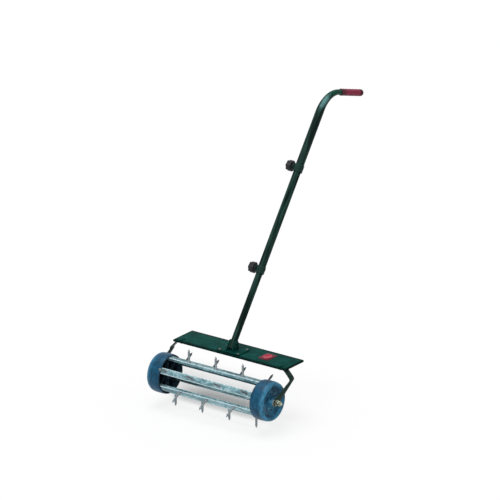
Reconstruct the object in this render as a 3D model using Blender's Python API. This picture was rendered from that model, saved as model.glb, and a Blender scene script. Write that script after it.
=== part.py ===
"""Push-along lawn spike aerator: a spiked drum between two moulded wheels, a flat weight deck
carried on two side arms, and a three-section tube handle with clamp knobs and one hand grip.

All sizes are in metres, +Z up, +X along the axle and +Y towards the person pushing.
Every piece hangs from one empty at the middle of the axle.
"""

import math

import bmesh
import bpy
from mathutils import Matrix, Vector

for old in list(bpy.data.objects):
    bpy.data.objects.remove(old, do_unlink=True)

# Clearance that separates two touching solids, and the gap between sliding tubes.
GAP = 0.0003

# Drum: six steel channels with radial spikes, carried between the wheels.
BAR_COUNT = 6
BAR_OUTER_RADIUS = 0.0712
BAR_WIDTH = 0.024
BAR_DEPTH = 0.011
BAR_SHEET = 0.0015
BAR_FOLD_RADIUS = 0.002
FIRST_BAR_ANGLE = 30.0
SPIKE_PITCH = 0.126
SPIKE_ROW_LONG = 4
SPIKE_ROW_SHORT = 3
SPIKE_LENGTH = 0.0508
SPIKE_RADIUS = 0.0045
SPIKE_POINT_LENGTH = 0.010
SPIKE_POINT_RADIUS = 0.0010
SPIKE_WELD_RADIUS = 0.0067
SPIKE_WELD_HEIGHT = 0.0030

# Wheels: hollow towards the drum, dished outside, with a full-width hub.
RIM_WALL = 0.0048
WHEEL_WIDTH = 0.060
WHEEL_SPAN = 0.422
WHEEL_CROWN = 0.0020
WHEEL_EDGE = 0.006
WEB_DEPTH = 0.036
WEB_WALL = 0.004
DISH_SLOPE = 0.012
HUB_RADIUS = 0.019
HUB_RECESS = 0.006
HUB_PROUD = 0.003
RIB_WALL = 0.004
RIB_RECESS = 0.012
SOCKET_LENGTH = 0.016
SOCKET_SPARE = 0.003

# Axle, its bushes, washers and nuts.
AXLE_RADIUS = 0.006
AXLE_PROUD = 0.008
AXLE_CHAMFER = 0.001
BUSH_WALL = 0.0025
BUSH_FLANGE_RADIUS = 0.014
BUSH_FLANGE = 0.002
WASHER_RADIUS = 0.012
WASHER_HEIGHT = 0.0012
AXLE_NUT_FLATS = 0.019
AXLE_NUT_HEIGHT = 0.0095
LOCK_NUT_HEIGHT = 0.006

# Deck: a folded steel tray, behind and above the axle.
DECK_LENGTH = 0.525
DECK_DEPTH = 0.122
DECK_FRONT = 0.080
DECK_CLEARANCE = 0.0045
DECK_SHEET = 0.0015
DECK_LIP = 0.007
DECK_CORNER = 0.004

# Side arms: flat bars folded twice, bolted under the deck and hung on the axle ends.
ARM_THICKNESS = 0.004
ARM_WIDTH = 0.026
ARM_EYE_RADIUS = 0.015
ARM_SETBACK = 0.0065
ARM_FOLD_HEIGHT = 0.060
ARM_OVERLAP = 0.006
ARM_TOP_INSET = 0.016
ARM_FLANGE = 0.030
ARM_BOLT_SPACING = 0.013

# M6 fasteners used on the deck, the bracket and the clamps.
BOLT_RADIUS = 0.003
BOLT_HEAD_RADIUS = 0.0058
BOLT_HEAD_HEIGHT = 0.0030
BOLT_TAIL = 0.0020
NUT_FLATS = 0.010
NUT_HEIGHT = 0.005

# Handle bracket on the deck.
HANDLE_TILT = 35.5
HANDLE_SETBACK = 0.0245
HANDLE_OFFSET = -0.0105
BRACKET_PLATE = 0.003
BRACKET_HALF_WIDTH = 0.052
BRACKET_FRONT_MARGIN = 0.006
BRACKET_LENGTH = 0.078
BRACKET_CORNER = 0.005
BRACKET_BOLT_OFFSET = 0.042
BRACKET_BOLT_MARGIN = 0.010
CHEEK_WALL = 0.003
CHEEK_REACH = 0.048
CHEEK_HALF_WIDTH = 0.012
CHEEK_FOOT = 0.020
CROSS_BOLT_FIRST = 0.021
CROSS_BOLT_SPACING = 0.016

# Handle tubes: each slides over the one below, with its clamp at its lower end.
TUBE_WALL = 0.0013
LOWER_TUBE_RADIUS = 0.0127
LOWER_CLAMP = 0.335
UPPER_CLAMP = 0.7485
TUBE_OVERLAP = 0.070
CLAMP_TO_END = 0.018
STRAIGHT_END = 0.980
BEND_RADIUS = 0.110
GRIP_DROOP = 16.6
GRIP_END_RADIUS = 0.0105
GRIP_REACH = 0.148
GRIP_LENGTH = 0.136
GRIP_WALL = 0.0022
GRIP_RIDGE = 0.0006
GRIP_RIDGES = 6
GRIP_CAP = 0.003

# Clamps: a collar riveted round the outer tube, a screw and a knob.
COLLAR_WALL = 0.0024
COLLAR_HEIGHT = 0.030
COLLAR_BOSS_RADIUS = 0.0095
COLLAR_BOSS_LENGTH = 0.0080
KNOB_RADIUS = 0.0215
KNOB_LOBE = 0.0026
KNOB_LOBES = 7
KNOB_THICKNESS = 0.022
KNOB_EDGE = 0.0025
KNOB_NECK_RADIUS = 0.0105
KNOB_NECK = 0.003
KNOB_BORE = 0.015
RIVET_RADIUS = 0.0024
RIVET_HEAD_RADIUS = 0.0048
RIVET_HEAD_HEIGHT = 0.0022

# Facets round each kind of round piece.
WHEEL_FACETS = 40
TUBE_FACETS = 20
KNOB_FACETS = 35
FASTENER_FACETS = 10
BEND_STEPS = 8

# Heights and places that follow from the sizes above.
SPIKE_TIP_RADIUS = BAR_OUTER_RADIUS + SPIKE_LENGTH
DECK_UNDERSIDE = math.sqrt((SPIKE_TIP_RADIUS + DECK_CLEARANCE) ** 2 - DECK_FRONT ** 2)
DECK_TOP = DECK_UNDERSIDE + DECK_LIP
WHEEL_INNER_X = WHEEL_SPAN / 2
HUB_END_X = WHEEL_INNER_X + WHEEL_WIDTH + HUB_PROUD
FLANGE_X = HUB_END_X + GAP
INNER_WASHER_X = FLANGE_X + BUSH_FLANGE + GAP
ARM_X = INNER_WASHER_X + WASHER_HEIGHT + GAP
OUTER_WASHER_X = ARM_X + ARM_THICKNESS + GAP
AXLE_NUT_X = OUTER_WASHER_X + WASHER_HEIGHT + GAP
LOCK_NUT_X = AXLE_NUT_X + AXLE_NUT_HEIGHT + GAP
AXLE_END_X = LOCK_NUT_X + LOCK_NUT_HEIGHT + AXLE_PROUD
BAR_END_X = WHEEL_INNER_X + WEB_DEPTH - GAP
BUSH_RADIUS = AXLE_RADIUS + GAP + BUSH_WALL
MIDDLE_TUBE_RADIUS = LOWER_TUBE_RADIUS + GAP + TUBE_WALL
UPPER_TUBE_RADIUS = MIDDLE_TUBE_RADIUS + GAP + TUBE_WALL
ARM_FLANGE_TOP = DECK_TOP - DECK_SHEET - GAP
ARM_FRONT = DECK_FRONT + ARM_SETBACK
ARM_TOP_X = DECK_LENGTH / 2 - ARM_TOP_INSET
HANDLE_FOOT_Y = DECK_FRONT + HANDLE_SETBACK
TILT = math.radians(HANDLE_TILT)
DROOP = math.radians(GRIP_DROOP)


def linear(hex_colour):
    """Turn an sRGB hex colour into linear red, green, blue and alpha."""
    channels = []
    for place in (0, 2, 4):
        value = int(hex_colour[place:place + 2], 16) / 255
        channels.append(value / 12.92 if value <= 0.04045 else ((value + 0.055) / 1.055) ** 2.4)
    return (*channels, 1.0)


def finish(mesh, hex_colour, roughness, metallic, angle=35.0):
    """Give a mesh its own Principled material and smooth shading with sharp corners."""
    material = bpy.data.materials.new(mesh.name)
    material.use_nodes = True
    shader = material.node_tree.nodes["Principled BSDF"]
    shader.inputs["Base Color"].default_value = linear(hex_colour)
    shader.inputs["Roughness"].default_value = roughness
    shader.inputs["Metallic"].default_value = metallic
    mesh.materials.clear()
    mesh.materials.append(material)
    mesh.shade_smooth()
    mesh.set_sharp_from_angle(angle=math.radians(angle))


def mesh_from(work, name="piece"):
    """Close a working bmesh into a mesh with its faces pointing out."""
    bmesh.ops.remove_doubles(work, verts=work.verts, dist=0.000001)
    bmesh.ops.recalc_face_normals(work, faces=work.faces)
    mesh = bpy.data.meshes.new(name)
    work.to_mesh(mesh)
    work.free()
    return mesh


def lathe(profile, facets, closed=True):
    """Turn (radius, height) points about local Z. An open profile starts and ends on the axis."""
    work = bmesh.new()
    points = [work.verts.new((radius, 0, height)) for radius, height in profile]
    pairs = list(zip(points, points[1:]))
    if closed:
        pairs.append((points[-1], points[0]))
    edges = [work.edges.new(pair) for pair in pairs]
    bmesh.ops.spin(
        work,
        geom=points + edges,
        axis=(0, 0, 1),
        cent=(0, 0, 0),
        angle=math.tau,
        steps=facets,
        use_merge=True,
    )
    return mesh_from(work)


def prism(outline, height):
    """Raise a flat outline in local XY by a height along Z."""
    work = bmesh.new()
    face = work.faces.new([work.verts.new((x, y, 0)) for x, y in outline])
    raised = bmesh.ops.extrude_face_region(work, geom=[face])
    moved = [item for item in raised["geom"] if isinstance(item, bmesh.types.BMVert)]
    bmesh.ops.translate(work, verts=moved, vec=(0, 0, height))
    return mesh_from(work)


def rod(radius, start, end, facets=FASTENER_FACETS, chamfer=0.0):
    """Make a solid round bar along local Z."""
    profile = [(0, start), (radius - chamfer, start), (radius, start + chamfer)]
    profile += [(radius, end - chamfer), (radius - chamfer, end), (0, end)]
    if chamfer == 0:
        profile = [(0, start), (radius, start), (radius, end), (0, end)]
    return lathe(profile, facets, closed=False)


def placed(mesh, matrix):
    """Copy a mesh and move the copy."""
    copy = mesh.copy()
    copy.transform(matrix)
    return copy


def joined(meshes):
    """Put several solids into one mesh, to be used as a tool."""
    work = bmesh.new()
    for mesh in meshes:
        work.from_mesh(mesh)
    mesh = bpy.data.meshes.new("group")
    work.to_mesh(mesh)
    work.free()
    return mesh


def combined(base, tool, operation):
    """Join a tool's solids to a base, or cut them from it, in one local frame."""
    body = bpy.data.objects.new("work_body", base)
    other = bpy.data.objects.new("work_tool", tool)
    for item in (body, other):
        bpy.context.scene.collection.objects.link(item)
    boolean = body.modifiers.new("boolean", "BOOLEAN")
    boolean.operation = operation
    boolean.object = other
    view = bpy.context.evaluated_depsgraph_get()
    result = bpy.data.meshes.new_from_object(body.evaluated_get(view))
    for item in (body, other):
        bpy.data.objects.remove(item, do_unlink=True)
    return result


def union(base, tool):
    return combined(base, tool, "UNION")


def cut(base, tool):
    return combined(base, tool, "DIFFERENCE")


def along_x(x=0.0, y=0.0, z=0.0):
    """Stand local Z along +X at a point."""
    return Matrix.Translation((x, y, z)) @ Matrix.Rotation(math.pi / 2, 4, "Y")


def along_minus_x(x=0.0, y=0.0, z=0.0):
    """Stand local Z along -X at a point."""
    return Matrix.Translation((x, y, z)) @ Matrix.Rotation(-math.pi / 2, 4, "Y")


def shift(x=0.0, y=0.0, z=0.0):
    return Matrix.Translation((x, y, z))


def empty(name, parent, location=(0, 0, 0), turn=(0, 0, 0)):
    """Make an empty that marks a joint axis or a frame of reference."""
    marker = bpy.data.objects.new(name, None)
    bpy.context.scene.collection.objects.link(marker)
    marker.parent = parent
    marker.location = location
    marker.rotation_euler = turn
    return marker


def piece(name, mesh, look, parent, place=Matrix()):
    """Make one named piece from a mesh and a look of colour, roughness and metal."""
    mesh.name = name
    finish(mesh, *look)
    item = bpy.data.objects.new(name, mesh)
    bpy.context.scene.collection.objects.link(item)
    item.parent = parent
    item.matrix_local = place
    return item


def pieces(names, mesh, look, parent, places):
    """Make like pieces that share one mesh, each at its own place."""
    first = piece(names[0], mesh, look, parent, places[0])
    for name, place in zip(names[1:], places[1:]):
        item = bpy.data.objects.new(name, first.data)
        bpy.context.scene.collection.objects.link(item)
        item.parent = parent
        item.matrix_local = place


def rounded_rectangle(low, high, radius, steps=3):
    """List the corners of a rectangle with round corners, anticlockwise."""
    points = []
    corners = [
        (high[0] - radius, high[1] - radius, 0),
        (low[0] + radius, high[1] - radius, 90),
        (low[0] + radius, low[1] + radius, 180),
        (high[0] - radius, low[1] + radius, 270),
    ]
    for x, y, start in corners:
        for step in range(steps + 1):
            angle = math.radians(start + 90 * step / steps)
            points.append((x + radius * math.cos(angle), y + radius * math.sin(angle)))
    return points


def thick_path(points, thickness):
    """Outline a folded strip of even thickness on the left-hand side of a path."""
    path = [Vector(point) for point in points]
    offset = []
    for index, point in enumerate(path):
        normals = []
        for first, second in ((index - 1, index), (index, index + 1)):
            if first >= 0 and second < len(path):
                run = (path[second] - path[first]).normalized()
                normals.append(Vector((-run.y, run.x)))
        middle = sum(normals, Vector((0, 0))).normalized()
        offset.append(point + middle * thickness / middle.dot(normals[0]))
    return [tuple(point) for point in path] + [tuple(point) for point in reversed(offset)]


def hexagon(flats):
    """List the corners of a hexagon with a given width across its flats."""
    radius = flats / math.sqrt(3)
    return [(radius * math.cos(math.radians(60 * k)), radius * math.sin(math.radians(60 * k)))
            for k in range(6)]


def nut(flats, height, bore, facets=FASTENER_FACETS):
    """Make a hexagon nut along local Z, from 0 up."""
    body = prism(hexagon(flats), height)
    return cut(body, rod(bore + GAP, -height, 2 * height, facets))


def washer(radius, bore, height):
    """Make a flat ring along local Z, from 0 up."""
    return lathe([(bore, 0), (radius, 0), (radius, height), (bore, height)], 2 * FASTENER_FACETS)


def domed_bolt(length):
    """Make a round-headed M6 bolt with its head above local Z = 0 and its shank below."""
    profile = [
        (0, -length),
        (BOLT_RADIUS, -length),
        (BOLT_RADIUS, 0),
        (BOLT_HEAD_RADIUS, 0),
        (BOLT_HEAD_RADIUS, BOLT_HEAD_HEIGHT * 0.35),
        (BOLT_HEAD_RADIUS * 0.72, BOLT_HEAD_HEIGHT * 0.82),
        (0, BOLT_HEAD_HEIGHT),
    ]
    return lathe(profile, FASTENER_FACETS, closed=False)


def through_hole(matrix, depth):
    """Make a cutter for an M6 clearance hole, centred on local Z = 0."""
    return placed(rod(BOLT_RADIUS + GAP, -depth, depth), matrix)


# Looks: colour, roughness, metallic.
DECK_GREEN = ("1c4e46", 0.42, 0.0)
HANDLE_GREEN = ("24403a", 0.40, 0.0)
WHEEL_BLUE = ("205a76", 0.38, 0.0)
GALVANISED = ("b4c8ca", 0.38, 0.9)
ZINC = ("a8ad9c", 0.35, 0.9)
BLACK_PLASTIC = ("26282a", 0.50, 0.0)
NYLON = ("d8d6cc", 0.45, 0.0)
CRIMSON = ("8c3048", 0.60, 0.0)

origin = empty("aerator_origin", None)


# Fixed axle with its washers and nuts.
axle = rod(AXLE_RADIUS, -AXLE_END_X, AXLE_END_X, 2 * FASTENER_FACETS, AXLE_CHAMFER)
piece("axle", axle, ZINC, origin, along_x())

axle_bore = AXLE_RADIUS + GAP
flat_washer = washer(WASHER_RADIUS, axle_bore, WASHER_HEIGHT)
axle_nut = nut(AXLE_NUT_FLATS, AXLE_NUT_HEIGHT, AXLE_RADIUS, 2 * FASTENER_FACETS)
lock_nut = nut(AXLE_NUT_FLATS, LOCK_NUT_HEIGHT, AXLE_RADIUS, 2 * FASTENER_FACETS)


def on_both_ends(name, mesh, x):
    """Set a piece on the axle at the same place on both sides."""
    names = (name + "_right", name + "_left")
    pieces(names, mesh, ZINC, origin, (along_x(x), along_minus_x(-x)))


on_both_ends("inner_washer", flat_washer, INNER_WASHER_X)
on_both_ends("outer_washer", flat_washer.copy(), OUTER_WASHER_X)
on_both_ends("axle_nut", axle_nut, AXLE_NUT_X)
on_both_ends("axle_lock_nut", lock_nut, LOCK_NUT_X)


# Deck tray, open underneath, with holes for the arms' and the bracket's bolts.
deck_low = (-DECK_LENGTH / 2, DECK_FRONT)
deck_high = (DECK_LENGTH / 2, DECK_FRONT + DECK_DEPTH)
deck = prism(rounded_rectangle(deck_low, deck_high, DECK_CORNER), DECK_LIP)
inner_low = (deck_low[0] + DECK_SHEET, deck_low[1] + DECK_SHEET)
inner_high = (deck_high[0] - DECK_SHEET, deck_high[1] - DECK_SHEET)
hollow = prism(rounded_rectangle(inner_low, inner_high, DECK_CORNER - DECK_SHEET), DECK_LIP)
deck = cut(deck, placed(hollow, shift(z=-DECK_SHEET)))

arm_middle = ARM_FRONT + ARM_WIDTH / 2
arm_bolt_x = ARM_TOP_X - ARM_FLANGE / 2
arm_bolt_places = []
for side in (-1, 1):
    for step in (-0.5, 0.5):
        arm_bolt_places.append((side * arm_bolt_x, arm_middle + step * ARM_BOLT_SPACING))

bracket_front = DECK_FRONT + BRACKET_FRONT_MARGIN
bracket_back = bracket_front + BRACKET_LENGTH
bracket_bolt_places = []
for side in (-1, 1):
    for y in (bracket_front + BRACKET_BOLT_MARGIN, bracket_back - BRACKET_BOLT_MARGIN):
        bracket_bolt_places.append((HANDLE_OFFSET + side * BRACKET_BOLT_OFFSET, y))

for x, y in arm_bolt_places + bracket_bolt_places:
    deck = cut(deck, through_hole(shift(x, y, DECK_LIP), DECK_LIP))
piece("deck_plate", deck, DECK_GREEN, origin, shift(z=DECK_TOP - DECK_LIP))


def side_arm():
    """Fold a flat bar: an eye on the axle, a run beside the wheel, a flange under the deck."""
    corner_front = Vector((ARM_FRONT, ARM_FOLD_HEIGHT))
    corner_back = Vector((ARM_FRONT + ARM_WIDTH, ARM_FOLD_HEIGHT))
    run = ((corner_front + corner_back) / 2).normalized()
    start = math.atan2(run.y, run.x) + math.pi / 2
    outline = []
    for step in range(9):
        angle = start + math.pi * step / 8
        outline.append((ARM_EYE_RADIUS * math.cos(angle), ARM_EYE_RADIUS * math.sin(angle)))
    outline.append(tuple(corner_back))
    outline.append((corner_back.x, ARM_FOLD_HEIGHT + ARM_OVERLAP))
    outline.append((corner_front.x, ARM_FOLD_HEIGHT + ARM_OVERLAP))
    outline.append(tuple(corner_front))
    # The outline's first axis is Y and its second is Z, so the plate is raised along X.
    stand = Matrix(((0, 0, 1, ARM_X), (1, 0, 0, 0), (0, 1, 0, 0), (0, 0, 0, 1)))
    lower = placed(prism(outline, ARM_THICKNESS), stand)
    path = [
        (ARM_X, ARM_FOLD_HEIGHT),
        (ARM_X, ARM_FOLD_HEIGHT + ARM_OVERLAP),
        (ARM_TOP_X, ARM_FLANGE_TOP - ARM_THICKNESS),
        (ARM_TOP_X - ARM_FLANGE, ARM_FLANGE_TOP - ARM_THICKNESS),
    ]
    strip = thick_path(path, -ARM_THICKNESS)
    # The strip's first axis is X and its second is Z, so it is raised along Y.
    across = Matrix(((1, 0, 0, 0), (0, 0, 1, ARM_FRONT), (0, 1, 0, 0), (0, 0, 0, 1)))
    arm = union(lower, placed(prism(strip, ARM_WIDTH), across))
    arm = cut(arm, placed(rod(axle_bore, -ARM_X, ARM_X, 2 * FASTENER_FACETS), along_x(ARM_X)))
    for x, y in arm_bolt_places:
        if x > 0:
            arm = cut(arm, through_hole(shift(x, y, ARM_FLANGE_TOP), 2 * ARM_THICKNESS))
    return arm


right_arm = side_arm()
left_arm = placed(right_arm, Matrix.Scale(-1, 4, (1, 0, 0)))
left_arm.flip_normals()
piece("side_arm_right", right_arm, HANDLE_GREEN, origin)
piece("side_arm_left", left_arm, HANDLE_GREEN, origin)


def fasten(prefix, places, height, stack):
    """Set round-headed bolts on a surface, with nuts under the sheets that they hold."""
    bolt = domed_bolt(stack + NUT_HEIGHT + 3 * GAP + BOLT_TAIL)
    under = nut(NUT_FLATS, NUT_HEIGHT, BOLT_RADIUS)
    numbers = [str(index + 1) for index in range(len(places))]
    heads = [shift(x, y, height + GAP) for x, y in places]
    tails = [shift(x, y, height - stack - GAP - NUT_HEIGHT) for x, y in places]
    pieces([prefix + "_bolt_" + number for number in numbers], bolt, ZINC, origin, heads)
    pieces([prefix + "_nut_" + number for number in numbers], under, ZINC, origin, tails)


fasten("arm", arm_bolt_places, DECK_TOP, DECK_SHEET + GAP + ARM_THICKNESS)


# Handle line: local Z runs up the handle from the point where it meets the bracket's seat.
bracket_seat = DECK_TOP + GAP
handle_foot = (HANDLE_OFFSET, HANDLE_FOOT_Y, bracket_seat)
handle_line = empty("handle_line", origin, handle_foot, (-TILT, 0, 0))
cross_bolt_places = [CROSS_BOLT_FIRST, CROSS_BOLT_FIRST + CROSS_BOLT_SPACING]


def handle_bracket():
    """Weld two cheeks to a base plate; the tube stands between them."""
    base_low = (-BRACKET_HALF_WIDTH, bracket_front - HANDLE_FOOT_Y)
    base_high = (BRACKET_HALF_WIDTH, bracket_back - HANDLE_FOOT_Y)
    base = prism(rounded_rectangle(base_low, base_high, BRACKET_CORNER), BRACKET_PLATE)
    line = Vector((math.sin(TILT), math.cos(TILT)))
    side = Vector((math.cos(TILT), -math.sin(TILT)))
    end = line * (CHEEK_REACH - CHEEK_HALF_WIDTH)
    outline = []
    start = math.atan2(side.y, side.x)
    for step in range(9):
        angle = start + math.pi * step / 8
        arc = Vector((math.cos(angle), math.sin(angle))) * CHEEK_HALF_WIDTH
        outline.append(tuple(end + arc))
    front_foot = max(base_low[1] + BRACKET_CORNER, -CHEEK_HALF_WIDTH / math.cos(TILT))
    outline.append((front_foot, BRACKET_PLATE / 2))
    outline.append((CHEEK_HALF_WIDTH / math.cos(TILT) + CHEEK_FOOT, BRACKET_PLATE / 2))
    bracket = base
    cheek = prism(outline, CHEEK_WALL)
    for x in (LOWER_TUBE_RADIUS + GAP, -LOWER_TUBE_RADIUS - GAP - CHEEK_WALL):
        stand = Matrix(((0, 0, 1, x), (1, 0, 0, 0), (0, 1, 0, 0), (0, 0, 0, 1)))
        bracket = union(bracket, placed(cheek, stand))
    for x, y in bracket_bolt_places:
        spot = shift(x - HANDLE_OFFSET, y - HANDLE_FOOT_Y, BRACKET_PLATE)
        bracket = cut(bracket, through_hole(spot, 2 * BRACKET_PLATE))
    for distance in cross_bolt_places:
        point = line * distance
        bracket = cut(bracket, through_hole(along_x(0, point.x, point.y), BRACKET_HALF_WIDTH))
    return bracket


piece("handle_bracket", handle_bracket(), HANDLE_GREEN, origin, shift(*handle_foot))
bracket_stack = BRACKET_PLATE + GAP + DECK_SHEET
fasten("bracket", bracket_bolt_places, bracket_seat + BRACKET_PLATE, bracket_stack)

cheek_outside = LOWER_TUBE_RADIUS + GAP + CHEEK_WALL
cross_bolt = domed_bolt(2 * cheek_outside + NUT_HEIGHT + 3 * GAP + BOLT_TAIL)
cross_nut = nut(NUT_FLATS, NUT_HEIGHT, BOLT_RADIUS)
cross_x = cheek_outside + GAP
bolt_places = [along_x(cross_x, 0, z) for z in cross_bolt_places]
nut_places = [along_minus_x(-cross_x, 0, z) for z in cross_bolt_places]
pieces(("cross_bolt_1", "cross_bolt_2"), cross_bolt, ZINC, handle_line, bolt_places)
pieces(("cross_nut_1", "cross_nut_2"), cross_nut, ZINC, handle_line, nut_places)


def straight_tube(radius, start, end):
    """Make a round tube along local Z."""
    bore = radius - TUBE_WALL
    return lathe([(bore, start), (radius, start), (radius, end), (bore, end)], TUBE_FACETS)


# Lower tube: its foot stands just clear of the bracket's base between the cheeks.
foot_clearance = BRACKET_PLATE + GAP
tube_foot = (foot_clearance + LOWER_TUBE_RADIUS * math.sin(TILT)) / math.cos(TILT)
lower_tube = straight_tube(LOWER_TUBE_RADIUS, tube_foot, LOWER_CLAMP + TUBE_OVERLAP)
for distance in cross_bolt_places:
    lower_tube = cut(lower_tube, through_hole(along_x(0, 0, distance), 2 * LOWER_TUBE_RADIUS))
piece("lower_tube", lower_tube, HANDLE_GREEN, handle_line)


def screw_hole(radius):
    """Make a cutter for the clamp screw's hole through one side of a tube or collar."""
    return placed(rod(BOLT_RADIUS + GAP, 0, 3 * radius), along_minus_x())


def rivet_hole(radius):
    """Make a cutter for the collar rivet's hole, opposite the clamp screw."""
    return placed(rod(RIVET_RADIUS + GAP, 0, 3 * radius), along_x())


def clamp_collar(tube_radius):
    """Make the collar: a ring with a boss for the clamp screw."""
    bore = tube_radius + GAP
    outside = bore + COLLAR_WALL
    low = -CLAMP_TO_END
    high = low + COLLAR_HEIGHT
    edge = COLLAR_WALL / 3
    profile = [
        (bore, low),
        (outside - edge, low),
        (outside, low + edge),
        (outside, high - edge),
        (outside - edge, high),
        (bore, high),
    ]
    ring = lathe(profile, TUBE_FACETS)
    reach = tube_radius + COLLAR_BOSS_LENGTH
    boss = rod(COLLAR_BOSS_RADIUS, bore + COLLAR_WALL / 2, reach, 2 * FASTENER_FACETS)
    collar = union(ring, placed(boss, along_minus_x()))
    collar = cut(collar, screw_hole(outside))
    return cut(collar, rivet_hole(outside))


def collar_rivet(tube_radius):
    """Make the rivet that holds a collar on its tube, with its head outside on +X."""
    seat = tube_radius + GAP + COLLAR_WALL + GAP
    profile = [
        (0, tube_radius - TUBE_WALL + GAP),
        (RIVET_RADIUS, tube_radius - TUBE_WALL + GAP),
        (RIVET_RADIUS, seat),
        (RIVET_HEAD_RADIUS, seat),
        (RIVET_HEAD_RADIUS * 0.7, seat + RIVET_HEAD_HEIGHT * 0.8),
        (0, seat + RIVET_HEAD_HEIGHT),
    ]
    return placed(lathe(profile, FASTENER_FACETS, closed=False), along_x())


def clamp_knob():
    """Make a lobed knob along local Z, its neck at 0 and its face away from the tube."""
    outline = []
    for step in range(KNOB_FACETS):
        angle = math.tau * step / KNOB_FACETS
        radius = KNOB_RADIUS - KNOB_LOBE / 2 + KNOB_LOBE / 2 * math.cos(KNOB_LOBES * angle)
        outline.append((radius * math.cos(angle), radius * math.sin(angle)))
    work = bmesh.new()
    work.from_mesh(prism(outline, KNOB_THICKNESS))
    rims = [edge for edge in work.edges if abs(edge.verts[0].co.z - edge.verts[1].co.z) < GAP]
    bmesh.ops.bevel(
        work,
        geom=rims,
        offset=KNOB_EDGE,
        offset_type="OFFSET",
        segments=2,
        profile=0.5,
        affect="EDGES",
        material=-1,
    )
    head = placed(mesh_from(work), shift(z=KNOB_NECK))
    knob = union(head, rod(KNOB_NECK_RADIUS, 0, KNOB_NECK + KNOB_EDGE, 2 * FASTENER_FACETS))
    return cut(knob, rod(BOLT_RADIUS + GAP, -KNOB_BORE, KNOB_BORE + GAP))


def clamp(prefix, tube_radius, inner_radius, carrier):
    """Fit a collar, a rivet, a screw and a knob at the lower end of an outer tube."""
    piece(prefix + "_collar", clamp_collar(tube_radius), HANDLE_GREEN, carrier)
    piece(prefix + "_collar_rivet", collar_rivet(tube_radius), ZINC, carrier)
    turning = empty(prefix + "_knob_axis", carrier)
    seat = tube_radius + COLLAR_BOSS_LENGTH + GAP
    screw = rod(BOLT_RADIUS, inner_radius + GAP, seat + KNOB_BORE)
    piece(prefix + "_clamp_screw", screw, ZINC, turning, along_minus_x())
    piece(prefix + "_knob", clamp_knob(), BLACK_PLASTIC, turning, along_minus_x(-seat))


# Middle tube: slides over the lower tube. Its empty sits on the lower clamp.
middle_slide = empty("middle_slide", handle_line, (0, 0, LOWER_CLAMP))
middle_length = UPPER_CLAMP + TUBE_OVERLAP - LOWER_CLAMP
middle_tube = straight_tube(MIDDLE_TUBE_RADIUS, -CLAMP_TO_END, middle_length)
middle_tube = cut(middle_tube, screw_hole(MIDDLE_TUBE_RADIUS))
middle_tube = cut(middle_tube, rivet_hole(MIDDLE_TUBE_RADIUS))
piece("middle_tube", middle_tube, HANDLE_GREEN, middle_slide)
clamp("lower", MIDDLE_TUBE_RADIUS, LOWER_TUBE_RADIUS, middle_slide)


def swept_tube(path, radii, wall):
    """Sweep a hollow tube along a path, with a radius at each point."""
    curve = bpy.data.curves.new("sweep", "CURVE")
    curve.dimensions = "3D"
    curve.bevel_depth = 1.0
    curve.bevel_resolution = TUBE_FACETS // 2 - 2
    curve.use_fill_caps = False
    spline = curve.splines.new("POLY")
    spline.points.add(len(path) - 1)
    for point, place, radius in zip(spline.points, path, radii):
        point.co = (*place, 1)
        point.radius = radius
    holder = bpy.data.objects.new("work_sweep", curve)
    bpy.context.scene.collection.objects.link(holder)
    solidify = holder.modifiers.new("wall", "SOLIDIFY")
    solidify.thickness = wall
    solidify.offset = -1
    solidify.use_even_offset = True
    view = bpy.context.evaluated_depsgraph_get()
    mesh = bpy.data.meshes.new_from_object(holder.evaluated_get(view))
    bpy.data.objects.remove(holder, do_unlink=True)
    work = bmesh.new()
    work.from_mesh(mesh)
    return mesh_from(work)


# Upper tube: straight, bent over towards the user, and swaged down for the grip.
upper_slide = empty("upper_slide", middle_slide, (0, 0, UPPER_CLAMP - LOWER_CLAMP))
straight = STRAIGHT_END - UPPER_CLAMP
turned = math.pi / 2 - TILT + DROOP
bend_path = [Vector((0, 0, -CLAMP_TO_END)), Vector((0, 0, straight / 2))]
bend_radii = [UPPER_TUBE_RADIUS, UPPER_TUBE_RADIUS]
for step in range(BEND_STEPS + 1):
    share = step / BEND_STEPS
    angle = turned * share
    across = BEND_RADIUS * (1 - math.cos(angle))
    bend_path.append(Vector((0, across, straight + BEND_RADIUS * math.sin(angle))))
    bend_radii.append(UPPER_TUBE_RADIUS + (GRIP_END_RADIUS - UPPER_TUBE_RADIUS) * share)
grip_direction = Vector((0, math.sin(turned), math.cos(turned)))
bend_end = bend_path[-1]
bend_path.append(bend_end + grip_direction * GRIP_REACH)
bend_radii.append(GRIP_END_RADIUS)
upper_tube = swept_tube(bend_path, bend_radii, TUBE_WALL)
upper_tube = cut(upper_tube, screw_hole(UPPER_TUBE_RADIUS))
upper_tube = cut(upper_tube, rivet_hole(UPPER_TUBE_RADIUS))
piece("upper_tube", upper_tube, HANDLE_GREEN, upper_slide)
clamp("upper", UPPER_TUBE_RADIUS, MIDDLE_TUBE_RADIUS, upper_slide)


def hand_grip():
    """Mould a ridged sleeve with a closed round end, its open end at local Z = 0."""
    bore = GRIP_END_RADIUS + GAP
    outside = bore + GRIP_WALL
    floor = GRIP_LENGTH
    profile = [(0, floor), (bore, floor), (bore, 0), (outside, 0)]
    pitch = GRIP_LENGTH / GRIP_RIDGES
    for ridge in range(GRIP_RIDGES):
        profile.append((outside + GRIP_RIDGE, (ridge + 0.25) * pitch))
        profile.append((outside + GRIP_RIDGE, (ridge + 0.65) * pitch))
        profile.append((outside, (ridge + 0.90) * pitch))
    profile.append((outside - GRIP_WALL * 0.4, floor + GRIP_CAP * 0.5))
    profile.append((bore - GRIP_WALL, floor + GRIP_CAP))
    profile.append((0, floor + GRIP_CAP))
    return lathe(profile, TUBE_FACETS, closed=False)


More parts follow.
